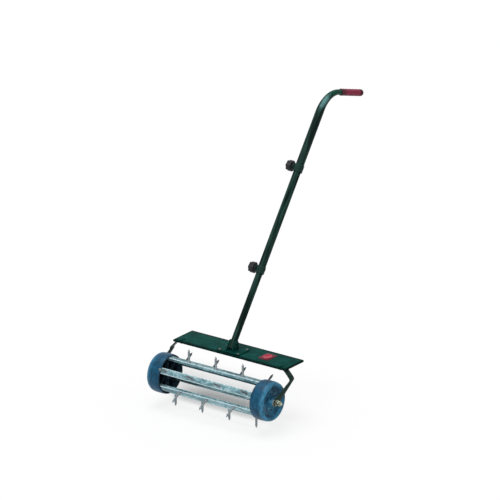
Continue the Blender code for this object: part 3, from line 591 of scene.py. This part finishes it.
# The round weld at the spike's foot: each ring's radius, and its height over the bar.
weld = [(0.0066, 0.0004), (0.0062, 0.0011), (0.0054, 0.0017), (0.0049, 0.0025),
        (spike_radius, 0.0031)]
spike_work = turned(
    [(0.0, weld_foot), (0.0066, weld_foot)]
    + [(radius, bar_outer + height) for radius, height in weld]
    + [(spike_radius, spike_tip - spike_point - 0.0008),
       (spike_radius - 0.0003, spike_tip - spike_point + 0.0002),
       (0.0009, spike_tip - 0.0008), (0.0, spike_tip)], 24, closed=False)

# The folded sheet: two flanges that point at the axle and the web between them.
bar_work = bmesh.new()
flange_foot = bar_outer - bar_depth
corners = [bar_work.verts.new((-bar_end, y, z)) for y, z in (
    (-bar_width / 2, flange_foot), (-bar_width / 2, bar_outer),
    (bar_width / 2, bar_outer), (bar_width / 2, flange_foot))]
section = [bar_work.edges.new(pair) for pair in zip(corners, corners[1:])]
pull(bar_work, (2 * bar_end, 0, 0), section)
# The folds take the painted highlight.
for face in soften(bar_work, fold_radius, 5, 60.0):
    face.material_index = 1
thicken(bar_work, bar_sheet, sum(face.normal.z for face in bar_work.faces) < 0)

for number in range(bars):
    node = "spike_bar_%d" % (number + 1)
    stand = Matrix.Translation(axle_middle) @ Matrix.Rotation(
        first_bar + math.tau * number / bars - math.pi / 2, 4, "X")
    fit(bar_work, "channel_%d" % (number + 1), galvanised, "drum", [node], stand,
        trim=fold_highlight_zinc)
    count = 4 if number % 2 == 0 else 3
    row = bmesh.new()
    for place_in_row in range(count):
        along = (place_in_row - (count - 1) / 2) * spike_pitch
        absorb(row, spike_work, Matrix.Translation((along, 0, 0)))
    fit(row, "spike_row_%d" % (number + 1), spike_steel, "drum", (), stand)
    row.free()
for shape in (bar_work, spike_work):
    shape.free()


# Side arms

# Flat steel bars, 26 by 4 mm, folded twice and punched for the axle, then powder coated very
# dark green. The flange at the top is bolted up under the deck.

# Powder coat: near-black green with a fine orange peel, drawn 3 mm across so that it shows.
powder_coat, tree, shader, place = new_finish("dark_green_powder_coat", "182f28", 0.30, shine=0.08)
cloud(tree, shader, place, 30.0, 3.0, (0.34, "162b25"), (0.68, "203d36"))
relief(tree, shader, place, 330.0, 2.0, 0.10)

arm_thickness = 0.004
arm_width = 0.026
arm_x = 0.2781
arm_front = 0.0865
arm_back = arm_front + arm_width
arm_fold = 0.060
arm_overlap = 0.006
arm_bend = 0.005
arm_eye = 0.015
arm_top_x = 0.2465
arm_flange = 0.030
deck_low, deck_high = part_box("deck_plate")
deck_top = deck_high.z - axle_middle.z
deck_sheet = 0.0015
flange_under = deck_top - deck_sheet - gap - arm_thickness


def half_round(x, y, radius, start, steps=24):
    """List the points of a half circle about a middle, anticlockwise from an angle."""
    return [(x + radius * math.cos(start + math.pi * step / steps),
             y + radius * math.sin(start + math.pi * step / steps)) for step in range(steps + 1)]


arm_work = bmesh.new()
arm_lean = math.atan2(arm_fold, (arm_front + arm_back) / 2)
outline = half_round(0.0, 0.0, arm_eye, arm_lean + math.pi / 2)
outline += [(arm_back, arm_fold), (arm_back, arm_fold + arm_overlap),
            (arm_front, arm_fold + arm_overlap), (arm_front, arm_fold)]
points = [arm_work.verts.new((arm_x, y, z)) for y, z in outline]
arm_work.faces.new(points)
top_edge = points[-3:-1]
for step in (Vector((arm_top_x - arm_x, 0, flange_under - arm_fold - arm_overlap)),
             Vector((-arm_flange, 0, 0))):
    top_edge = pull(arm_work, step, [arm_work.edges.get(top_edge)])
soften(arm_work, arm_bend, 5, 20.0)
outer_side = sum(face.normal.x * face.calc_area() for face in arm_work.faces)
thicken(arm_work, arm_thickness, outer_side > 0)
soften(arm_work, 0.0006, 2, 60.0)
for side, end in axle_ends:
    fit(arm_work, "folded_arm_" + end, powder_coat, "frame", ["side_arm_" + end],
        Matrix.Translation(axle_middle) @ Matrix.Scale(side, 4, (1, 0, 0)))
arm_work.free()


# Deck

# A shallow tray folded from 1.5 mm sheet with its edges turned down, sprayed in green gloss
# enamel. A weight is laid on it, so the paint is rubbed duller in broad patches.

deck_middle = (deck_low + deck_high) / 2
deck_size = deck_high - deck_low
deck_corner = 0.004
deck_fold = 0.0024

# Gloss enamel on sheet: mottled about 30 mm across, with a fine sprayed peel.
deck_enamel, tree, shader, place = new_finish("green_enamel", "10443f", 0.42, shine=0.006)
mottle, tint = cloud(tree, shader, place, 32.0, 4.0, (0.34, "0c3b36"), (0.68, "154e48"),
                     distortion=0.4)
# Painted shade: a near-black band along the folded edges, wider at the front and back.
from_middle = add(tree, "VectorMath", {"operation": "SUBTRACT", 1: deck_middle}, {0: place})
from_middle = add(tree, "VectorMath", {"operation": "ABSOLUTE"}, {0: from_middle})
apart = add(tree, "SeparateXYZ", links={0: from_middle})
edge_shade_bands = [add(tree, "MapRange", {
    "interpolation_type": "SMOOTHSTEP", "From Min": half - start, "From Max": half - full,
    "To Max": 0.8}, {"Value": apart.outputs[axis]})
    for axis, half, start, full in (("X", deck_size.x / 2, 0.008, 0.003),
                                    ("Y", deck_size.y / 2, 0.014, 0.006))]
edge_shade = add(tree, "Math", {"operation": "MAXIMUM"}, {0: edge_shade_bands[0], 1: edge_shade_bands[1]})
shade_edged = add(tree, "Mix", {"data_type": "RGBA", "B": "061a17"}, {"Factor": edge_shade, "A": tint})
connect(tree, shader, {"Base Color": shade_edged})
dull(tree, shader, mottle, 0.26, 0.50)
relief(tree, shader, place, 300.0, 2.0, 0.12)


def round_sheet(width, depth, corner, middle=0.0):
    """Lay a flat sheet with round corners on Z = 0, its middle on the Y axis."""
    work = bmesh.new()
    bmesh.ops.create_grid(work, x_segments=1, y_segments=1, size=0.5)
    bmesh.ops.scale(work, vec=(width, depth, 1.0), verts=work.verts)
    bmesh.ops.translate(work, vec=(0, middle, 0), verts=work.verts)
    bmesh.ops.bevel(work, geom=list(work.verts), offset=corner, offset_type="OFFSET",
                    segments=6, profile=0.5, affect="VERTICES", material=-1)
    return work


deck_work = round_sheet(deck_size.x, deck_size.y, deck_corner)
pull(deck_work, (0, 0, -deck_size.z), list(deck_work.edges))
soften(deck_work, deck_fold, 4, 60.0)
thicken(deck_work, deck_sheet, sum(face.normal.z for face in deck_work.faces) < 0)
fit(deck_work, "deck_tray", deck_enamel, "frame", ["deck_plate"],
    Matrix.Translation((deck_middle.x, deck_middle.y, deck_high.z)))
deck_work.free()

# A plain red enamel oval with a raised rim, on a darker red plate with round corners, both flat
# on the right-hand half of the deck. Fired enamel is even and glossy, with faint 7 mm mottling.
red_enamel, tree, shader, place = new_finish("red_stove_enamel", "b42c42", 0.30, shine=0.10)
cloud(tree, shader, place, 150.0, 4.0, (0.35, "9e2438"), (0.65, "c8344c"))
maroon_enamel, tree, shader, place = new_finish("maroon_stove_enamel", "5c1a28", 0.34, shine=0.06)
cloud(tree, shader, place, 150.0, 4.0, (0.35, "4a1420"), (0.65, "6c2131"))


def dish(work, rim, slope, depth):
    """Sink the top of a shape inside a flat rim and a short slope."""
    face = max(work.faces, key=lambda item: item.calc_center_median().z + item.calc_area())
    bmesh.ops.inset_region(work, faces=[face], thickness=rim, depth=0.0)
    bmesh.ops.inset_region(work, faces=[face], thickness=slope, depth=-depth)


red_spot = axle_middle + Vector((0.134, 0.145, deck_top + 0.0001))
backing_size = (0.050, 0.066)
backing_corner = 0.010
backing_height = 0.0008
oval_size = (0.034, 0.045)
oval_height = 0.0014
plate_work = round_sheet(*backing_size, backing_corner)
pull(plate_work, (0, 0, backing_height))
soften(plate_work, 0.0003, 2, 60.0)
fit(plate_work, "deck_backing", maroon_enamel, "frame", (),
    Matrix.Translation(red_spot))
plate_work.free()
plate_work = bmesh.new()
bmesh.ops.create_circle(plate_work, cap_ends=True, radius=0.5, segments=72)
bmesh.ops.scale(plate_work, vec=(*oval_size, 1.0), verts=plate_work.verts)
pull(plate_work, (0, 0, oval_height))
soften(plate_work, 0.0005, 3, 60.0)
dish(plate_work, 0.0014, 0.0008, 0.0006)
fit(plate_work, "deck_oval", red_enamel, "frame", (),
    Matrix.Translation(red_spot + Vector((0, 0, backing_height))))
plate_work.free()


# Handle bracket

# A 3 mm base plate with two cheeks welded to it, sprayed with the deck's enamel. The tube's
# foot stands between the cheeks; the weld shows as a rippled bead along each one.

tilt = math.radians(35.5)
foot = Vector((-0.0105, 0.1045, deck_top + gap))
bracket_low, bracket_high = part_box("handle_bracket")
plate = 0.003
base_half = 0.052
base_front = bracket_low.y - axle_middle.y - foot.y
base_back = bracket_high.y - axle_middle.y - foot.y
base_corner = 0.005
bracket_work = round_sheet(2 * base_half, base_back - base_front, base_corner,
                           (base_front + base_back) / 2)
pull(bracket_work, (0, 0, plate))
soften(bracket_work, 0.0006, 2, 60.0)

cheek_wall = 0.003
cheek_half = 0.012
cheek_reach = 0.048
cheek_foot = 0.020
end = Vector((math.sin(tilt), math.cos(tilt))) * (cheek_reach - cheek_half)
outline = half_round(end.x, end.y, cheek_half, -tilt)
foot_front = max(base_front + base_corner, -cheek_half / math.cos(tilt))
foot_back = cheek_half / math.cos(tilt) + cheek_foot
outline += [(foot_front, plate / 2), (foot_back, plate / 2)]
cheek_work = flat_prism(outline, cheek_wall)
soften(cheek_work, 0.0006, 2, 60.0)
tube_radius = 0.0127
cheek_gap = tube_radius + gap
for x in (cheek_gap, -cheek_gap - cheek_wall):
    absorb(bracket_work, cheek_work,
           Matrix(((0, 0, 1, x), (1, 0, 0, 0), (0, 1, 0, 0), (0, 0, 0, 1))))

# The weld bead: a chain of small drops, half sunk along the outer foot of each cheek.
drops = 16
drop_radius = 0.0024
drop_work = bmesh.new()
bmesh.ops.create_icosphere(drop_work, subdivisions=2, radius=drop_radius)
bead_start = foot_front + 0.004
bead_length = foot_back - foot_front - 0.008
bead_x = cheek_gap + cheek_wall + 0.0004
for side in (-1, 1):
    for number in range(drops):
        along = bead_start + bead_length * number / (drops - 1)
        absorb(bracket_work, drop_work,
               Matrix.Translation((side * bead_x, along, plate + 0.0002)))
fit(bracket_work, "welded_bracket", deck_enamel, "frame", ["handle_bracket"],
    Matrix.Translation(axle_middle + foot), 50.0)
for shape in (bracket_work, cheek_work, drop_work):
    shape.free()


# M6 bolts and nuts

# Round-headed bolts: four hold the arms and are sprayed over with the deck, four hold the
# bracket and two run across it through the tube. Each has a plain zinc-plated nut.

screw_radius = 0.003
screw_pitch = 0.001
screw_depth = 0.00045
screw_bore = screw_radius + gap
head_radius = 0.0058
head_height = 0.003
nut_flats = 0.010
nut_height = 0.005
bolts_up_tube = (0.021, 0.037)


def domed_bolt(length):
    """Turn a low domed head above Z = 0 and a threaded shank below it."""
    shank = thread(screw_radius, -length + 0.0008, -0.0005, screw_pitch, screw_depth)
    head = [(head_radius, 0.0), (head_radius, 0.0006), (0.0055, 0.0013), (0.0048, 0.0020),
            (0.0036, 0.0026), (0.0019, 0.0029), (0.0, head_height)]
    return turned([(0.0, -length), (0.0024, -length)] + shank + [(screw_radius, 0.0)] + head, 32,
                  closed=False)


# Zinc plating gone dull and brown-grey outdoors, in blooms about 5 mm across.
dulled_zinc, tree, shader, place = new_finish("weathered_zinc_plate", "525850", 0.52, 0.7)
cloud(tree, shader, place, 200.0, 4.0, (0.34, "3d433c"), (0.68, "666d64"))

small_nut = hex_nut(nut_flats, nut_height, screw_bore)
line_frame = Matrix.Translation(axle_middle + foot) @ Matrix.Rotation(-tilt, 4, "X")
for prefix, finish in (("arm", deck_enamel), ("bracket", dulled_zinc)):
    low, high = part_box(prefix + "_bolt_1")
    bolt_work = domed_bolt(high.z - low.z - head_height)
    for number in range(1, 5):
        bolt = "%s_bolt_%d" % (prefix, number)
        low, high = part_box(bolt)
        middle = (low + high) / 2
        head = Matrix.Translation((middle.x, middle.y, high.z - head_height))
        fit(bolt_work, "fine_" + bolt, finish, "frame", [bolt], head)
        under = "%s_nut_%d" % (prefix, number)
        low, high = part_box(under)
        middle = (low + high) / 2
        seat = Matrix.Translation((middle.x, middle.y, low.z))
        fit(small_nut, "fine_" + under, zinc_plate, "frame", [under], seat, 35.0)
    bolt_work.free()

low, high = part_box("cross_bolt_1")
bolt_work = domed_bolt(high.x - low.x - head_height)
for number, up in enumerate(bolts_up_tube, 1):
    bolt = "cross_bolt_%d" % number
    head = line_frame @ Matrix.Translation((high.x - foot.x - head_height, 0, up))
    fit(bolt_work, "fine_" + bolt, powder_coat, "frame", [bolt],
        head @ Matrix.Rotation(math.pi / 2, 4, "Y"))
    under = "cross_nut_%d" % number
    seat = line_frame @ Matrix.Translation((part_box(under)[1].x - foot.x, 0, up))
    fit(small_nut, "fine_" + under, zinc_plate, "frame", [under],
        seat @ Matrix.Rotation(-math.pi / 2, 4, "Y"), 35.0)
for shape in (bolt_work, small_nut):
    shape.free()


# Handle tubes

# Three seamed steel tubes, each sliding over the one below, powder coated very dark green. The
# top one is bent over a former towards the hands and drawn thinner for the grip.

tube_wall = 0.0013
middle_radius = tube_radius + gap + tube_wall
upper_radius = middle_radius + gap + tube_wall
lower_clamp = 0.335
upper_clamp = 0.7485
past_clamp = 0.070
clamp_to_end = 0.018
tube_foot = (plate + gap + tube_radius * math.sin(tilt)) / math.cos(tilt)


def streak_green(tree, shader, place):
    """Give near-black green with paler rub marks along the tube, 7 mm wide and 120 mm long."""
    along = add(tree, "Mapping", {
        "vector_type": "TEXTURE", "Rotation": (-tilt, 0.0, 0.0), "Scale": (0.007, 0.007, 0.12)},
        {"Vector": place})
    return cloud(tree, shader, along, 1.0, 2.0, (0.40, "0d1b18"), (0.66, "2c4a42"))[1]


# Powder coat on the tubes: rubbed in streaks by hands and shed walls, with a low gloss.
tube_coat, tree, shader, place = new_finish("rubbed_powder_coat", "182f28", 0.30, shine=0.02)
streak_green(tree, shader, place)

for name, node, body, radius, start, end in (
        ("bottom_tube", "lower_tube", "frame", tube_radius, tube_foot,
         lower_clamp + past_clamp),
        ("centre_tube", "middle_tube", "middle_section", middle_radius,
         lower_clamp - clamp_to_end, upper_clamp + past_clamp)):
    work = turned([(radius - tube_wall, start), (radius, start), (radius, end),
                   (radius - tube_wall, end)])
    soften(work, 0.0003, 2, 60.0)
    fit(work, name, tube_coat, body, [node], line_frame)
    work.free()

straight_end = 0.980
bend_radius = 0.110
bend_steps = 28
droop = math.radians(16.6)
turned_by = math.pi / 2 - tilt + droop
grip_radius = 0.0105
grip_reach = 0.148
grip_way = Vector((0, math.sin(turned_by), math.cos(turned_by)))
pivot = Vector((0, bend_radius, straight_end))

# The same coat on the top tube, with a painted highlight on the outside of the bend: paler teal
# and glossier, in a soft-edged patch some 80 mm long and 20 mm wide.
bend_highlight_coat, tree, shader, place = new_finish("bend_painted_highlight_powder_coat", "182f28", 0.30,
                                               shine=0.05)
green = streak_green(tree, shader, place)
highlight_turn = math.radians(21.0)
highlight_side = math.radians(30.0)
highlight_out = bend_radius + upper_radius * math.cos(highlight_side)
highlight_at = line_frame @ (pivot + Vector((
    upper_radius * math.sin(highlight_side), -highlight_out * math.cos(highlight_turn),
    highlight_out * math.sin(highlight_turn))))
patch = add(tree, "Mapping", {
    "vector_type": "TEXTURE", "Location": highlight_at,
    "Rotation": (-tilt - highlight_turn, 0.0, 0.0), "Scale": (0.0105, 0.018, 0.050)},
    {"Vector": place})
away = add(tree, "VectorMath", {"operation": "LENGTH"}, {0: patch})
streaks = add(tree, "TexNoise", {"Scale": 80.0, "Detail": 3.0}, {"Vector": place})
uneven = add(tree, "Math", {"operation": "MULTIPLY_ADD", 1: 0.8}, {0: streaks, 2: away})
bend_painted_highlight = add(tree, "MapRange", {"interpolation_type": "SMOOTHSTEP", "From Min": 0.60,
                                "From Max": 1.60, "To Min": 1.0, "To Max": 0.0},
             {"Value": uneven})
# Painted light: between the patch and the grip the coat is painted a lighter green.
along = add(tree, "SeparateXYZ", links={0: patch})
painted_light_band = add(tree, "MapRange", {"interpolation_type": "SMOOTHSTEP", "From Min": 0.5,
                               "From Max": 1.1, "To Max": 0.75}, {"Value": along.outputs["Z"]})
lit_green = add(tree, "Mix", {"data_type": "RGBA", "B": "125040"}, {"Factor": painted_light_band, "A": green})
teal = add(tree, "Mix", {"data_type": "RGBA", "B": "5f8e8e"}, {"Factor": bend_painted_highlight, "A": lit_green})
connect(tree, shader, {"Base Color": teal})
dull(tree, shader, bend_painted_highlight, 0.30, 0.20)


def next_ring(work, ring, step=(0, 0, 0)):
    """Draw a ring of edges out by a step into a new ring, and give its edges and points."""
    tips = pull(work, step, ring)
    ends = set(tips)
    return [edge for edge in work.edges if ends.issuperset(edge.verts)], tips


work = bmesh.new()
bmesh.ops.create_circle(work, radius=upper_radius, segments=64)
tube_start = upper_clamp - clamp_to_end
bmesh.ops.translate(work, vec=(0, 0, tube_start), verts=work.verts)
ring = next_ring(work, list(work.edges), (0, 0, straight_end - tube_start))[0]
for step in range(bend_steps):
    ring, tips = next_ring(work, ring)
    bmesh.ops.rotate(work, cent=pivot, matrix=Matrix.Rotation(-turned_by / bend_steps, 3, "X"),
                     verts=tips)
    middle = sum((tip.co for tip in tips), Vector()) / len(tips)
    before = upper_radius + (grip_radius - upper_radius) * step / bend_steps
    after = upper_radius + (grip_radius - upper_radius) * (step + 1) / bend_steps
    bmesh.ops.scale(work, vec=(after / before,) * 3, space=Matrix.Translation(-middle), verts=tips)
bend_end = sum((tip.co for tip in tips), Vector()) / len(tips)
next_ring(work, ring, grip_way * grip_reach)
facing_out = sum(face.normal.xy.dot(face.calc_center_median().xy)
                 for face in work.faces if face.calc_center_median().z < straight_end - 0.05)
thicken(work, tube_wall, facing_out < 0)
fit(work, "top_tube", bend_highlight_coat, "upper_section", ["upper_tube"], line_frame)
work.free()


# Clamp collars

# A pressed steel sleeve riveted round the foot of each sliding tube, with a boss for its clamp
# screw. Powder coated like the tubes, with the rivet's head.

collar_wall = 0.0024
collar_height = 0.030
boss_radius = 0.0095
boss_length = 0.008


def collar(radius):
    """Turn the sleeve and its boss; local Z runs up the handle and the boss points to -X."""
    bore = radius + gap
    outside = bore + collar_wall
    low = -clamp_to_end
    high = low + collar_height
    work = turned([(bore, low), (outside - 0.0011, low), (outside, low + 0.0012),
                   (outside, high - 0.0012), (outside - 0.0011, high), (bore, high)])
    soften(work, 0.0005, 2, 25.0)
    reach = radius + boss_length
    boss = turned([(screw_bore, bore + 0.0004), (boss_radius + 0.0016, bore + 0.0004),
                   (boss_radius + 0.0010, outside + 0.0006), (boss_radius, outside + 0.0020),
                   (boss_radius, reach - 0.0010), (boss_radius - 0.0010, reach),
                   (screw_bore, reach)], 48)
    absorb(work, boss, Matrix.Rotation(-math.pi / 2, 4, "Y"))
    boss.free()
    return work


def rivet_head(radius):
    """Turn a rivet whose round head lies outside the collar."""
    seat = radius + 2 * gap + collar_wall
    start = radius - tube_wall + gap
    return turned([(0.0, start), (0.0024, start), (0.0024, seat), (0.0048, seat),
                   (0.0047, seat + 0.0006), (0.0041, seat + 0.0013), (0.0029, seat + 0.0019),
                   (0.0014, seat + 0.0021), (0.0, seat + 0.0022)], 32, closed=False)


for prefix, radius, up, body in (("lower", middle_radius, lower_clamp, "middle_section"),
                                 ("upper", upper_radius, upper_clamp, "upper_section")):
    spot = line_frame @ Matrix.Translation((0, 0, up))
    work = collar(radius)
    fit(work, prefix + "_sleeve", powder_coat, body, [prefix + "_collar"], spot)
    work.free()
    work = rivet_head(radius)
    fit(work, prefix + "_rivet", powder_coat, body, [prefix + "_collar_rivet"],
        spot @ Matrix.Rotation(math.pi / 2, 4, "Y"))
    work.free()


# Clamp knobs

# Black glass-filled nylon knobs with seven soft lobes, moulded round a zinc-plated M6 screw
# that presses on the tube inside. The face is slightly dished with a plain cap in the middle.

# Glass-filled nylon: charcoal, matte, with a spark-eroded texture drawn 1.5 mm across.
black_nylon, tree, shader, place = new_finish("black_glass_filled_nylon", "26282a", 0.50,
                                              shine=0.16)
cloud(tree, shader, place, 90.0, 3.0, (0.35, "202224"), (0.70, "313437"))
relief(tree, shader, place, 650.0, 3.0, 0.25)

knob_radius = 0.0215
knob_lobe = 0.0026
knob_lobes = 7
knob_thickness = 0.022
knob_neck = 0.003
neck_radius = 0.0105
knob_work = bmesh.new()
bmesh.ops.create_circle(knob_work, cap_ends=True, radius=knob_radius, segments=140)
for point in knob_work.verts:
    angle = math.atan2(point.co.y, point.co.x)
    reach = knob_radius - knob_lobe / 2 + knob_lobe / 2 * math.cos(knob_lobes * angle)
    point.co *= reach / knob_radius
pull(knob_work, (0, 0, knob_thickness))
soften(knob_work, 0.0028, 4, 60.0)
dish(knob_work, 0.0016, 0.0012, 0.0010)
bmesh.ops.translate(knob_work, vec=(0, 0, knob_neck), verts=knob_work.verts)
neck_top = knob_neck + 0.0015
neck_work = turned([(screw_bore, 0.0), (neck_radius - 0.0005, 0.0), (neck_radius, 0.0006),
                    (neck_radius, neck_top), (screw_bore, neck_top)], 48)
cap_top = knob_neck + knob_thickness - 0.0002
cap_work = turned([(0.0, cap_top - 0.0020), (0.0080, cap_top - 0.0020), (0.0080, cap_top - 0.0004),
                   (0.0076, cap_top), (0.0040, cap_top + 0.0001), (0.0, cap_top + 0.0001)], 48,
                  closed=False)
absorb(knob_work, neck_work)
absorb(knob_work, cap_work)
for prefix, radius, inner, up, body in (
        ("lower", middle_radius, tube_radius, lower_clamp, "lower_knob"),
        ("upper", upper_radius, middle_radius, upper_clamp, "upper_knob")):
    spot = line_frame @ Matrix.Translation((0, 0, up)) @ Matrix.Rotation(-math.pi / 2, 4, "Y")
    seat = radius + boss_length + gap
    fit(knob_work, prefix + "_lobed_knob", black_nylon, body, [prefix + "_knob"],
        spot @ Matrix.Translation((0, 0, seat)))
    screw = [(0.0, inner + gap), (0.0024, inner + gap)]
    screw += thread(screw_radius, inner + gap + 0.0006, seat + 0.0150, screw_pitch, screw_depth)
    work = turned(screw + [(0.0, seat + 0.016)], 32, closed=False)
    fit(work, prefix + "_screw", zinc_plate, body, [prefix + "_clamp_screw"], spot)
    work.free()
for shape in (knob_work, neck_work, cap_work):
    shape.free()


# Hand grip

# A dipped crimson PVC sleeve pushed over the thin end of the tube, with six soft finger swells
# and a closed round end. It is soft to the touch, so its gloss is low.

# Soft PVC: crimson, with a painted highlight along the upper middle, a little greyer on top, and
# painted shade underneath, its edge wobbled by clouds about 20 mm across. Darker at the tube end.
soft_pvc, tree, shader, place = new_finish("crimson_soft_pvc", "80283f", 0.42, shine=0.07)
grip_tip = line_frame @ (bend_end + grip_way * (grip_reach + gap))
along_grip = add(tree, "Mapping", {
    "vector_type": "TEXTURE", "Location": grip_tip, "Rotation": (-droop, 0.0, 0.0)},
    {"Vector": place})
shade_wobble = add(tree, "TexNoise", {"Scale": 50.0, "Detail": 2.0}, {"Vector": place})
apart = add(tree, "SeparateXYZ", links={0: along_grip})
height = add(tree, "Math", {"operation": "MULTIPLY_ADD", 1: 0.006},
             {0: shade_wobble, 2: apart.outputs["Z"]})
upward = add(tree, "MapRange", {"From Min": -0.011, "From Max": 0.017}, {"Value": height})
tint = add(tree, "ValToRGB", links={"Fac": upward},
           stops=((0.05, "400e1e"), (0.80, "94364f"), (0.40, "a0344f")))
tube_end = add(tree, "MapRange", {"interpolation_type": "SMOOTHSTEP", "From Min": -0.130,
                                  "From Max": -0.098, "To Min": 0.72, "To Max": 0.0},
               {"Value": apart.outputs["Y"]})
tube_end_darkened = add(tree, "Mix", {"data_type": "RGBA", "B": "3a2428"}, {"Factor": tube_end, "A": tint})
# The last 20 mm at the tip are darker.
tip_end = add(tree, "MapRange", {"interpolation_type": "SMOOTHSTEP", "From Min": -0.026,
                                 "From Max": -0.010, "To Max": 0.9}, {"Value": apart.outputs["Y"]})
darkened = add(tree, "Mix", {"data_type": "RGBA", "B": "400e1e"},
               {"Factor": tip_end, "A": tube_end_darkened})
connect(tree, shader, {"Base Color": darkened})

grip_length = 0.136
grip_wall = 0.0022
grip_swell = 0.0006
swells = 6
grip_cap = 0.003
bore = grip_radius + gap
outside = bore + grip_wall
profile = [(0.0, grip_length), (bore, grip_length), (bore, 0.0), (outside - 0.0004, 0.0),
           (outside + grip_swell, 0.0008), (outside + grip_swell, 0.0030), (outside, 0.0040)]
steps = 96
for step in range(4, steps + 1):
    share = step / steps
    rise = (1 - math.cos(math.tau * swells * share)) / 2
    profile.append((outside + grip_swell * rise, 0.0040 + (grip_length - 0.0045) * share))
profile += [(outside - 0.0006, grip_length + grip_cap * 0.35),
            (outside - 0.0022, grip_length + grip_cap * 0.78),
            (outside - 0.0052, grip_length + grip_cap * 0.97), (0.0, grip_length + grip_cap)]
work = turned(profile, closed=False)
grip_start = bend_end + grip_way * (grip_reach - grip_length + gap)
fit(work, "crimson_grip", soft_pvc, "upper_section", ["hand_grip"],
    line_frame @ Matrix.Translation(grip_start) @ Matrix.Rotation(-turned_by, 4, "X"), 60.0)
work.free()
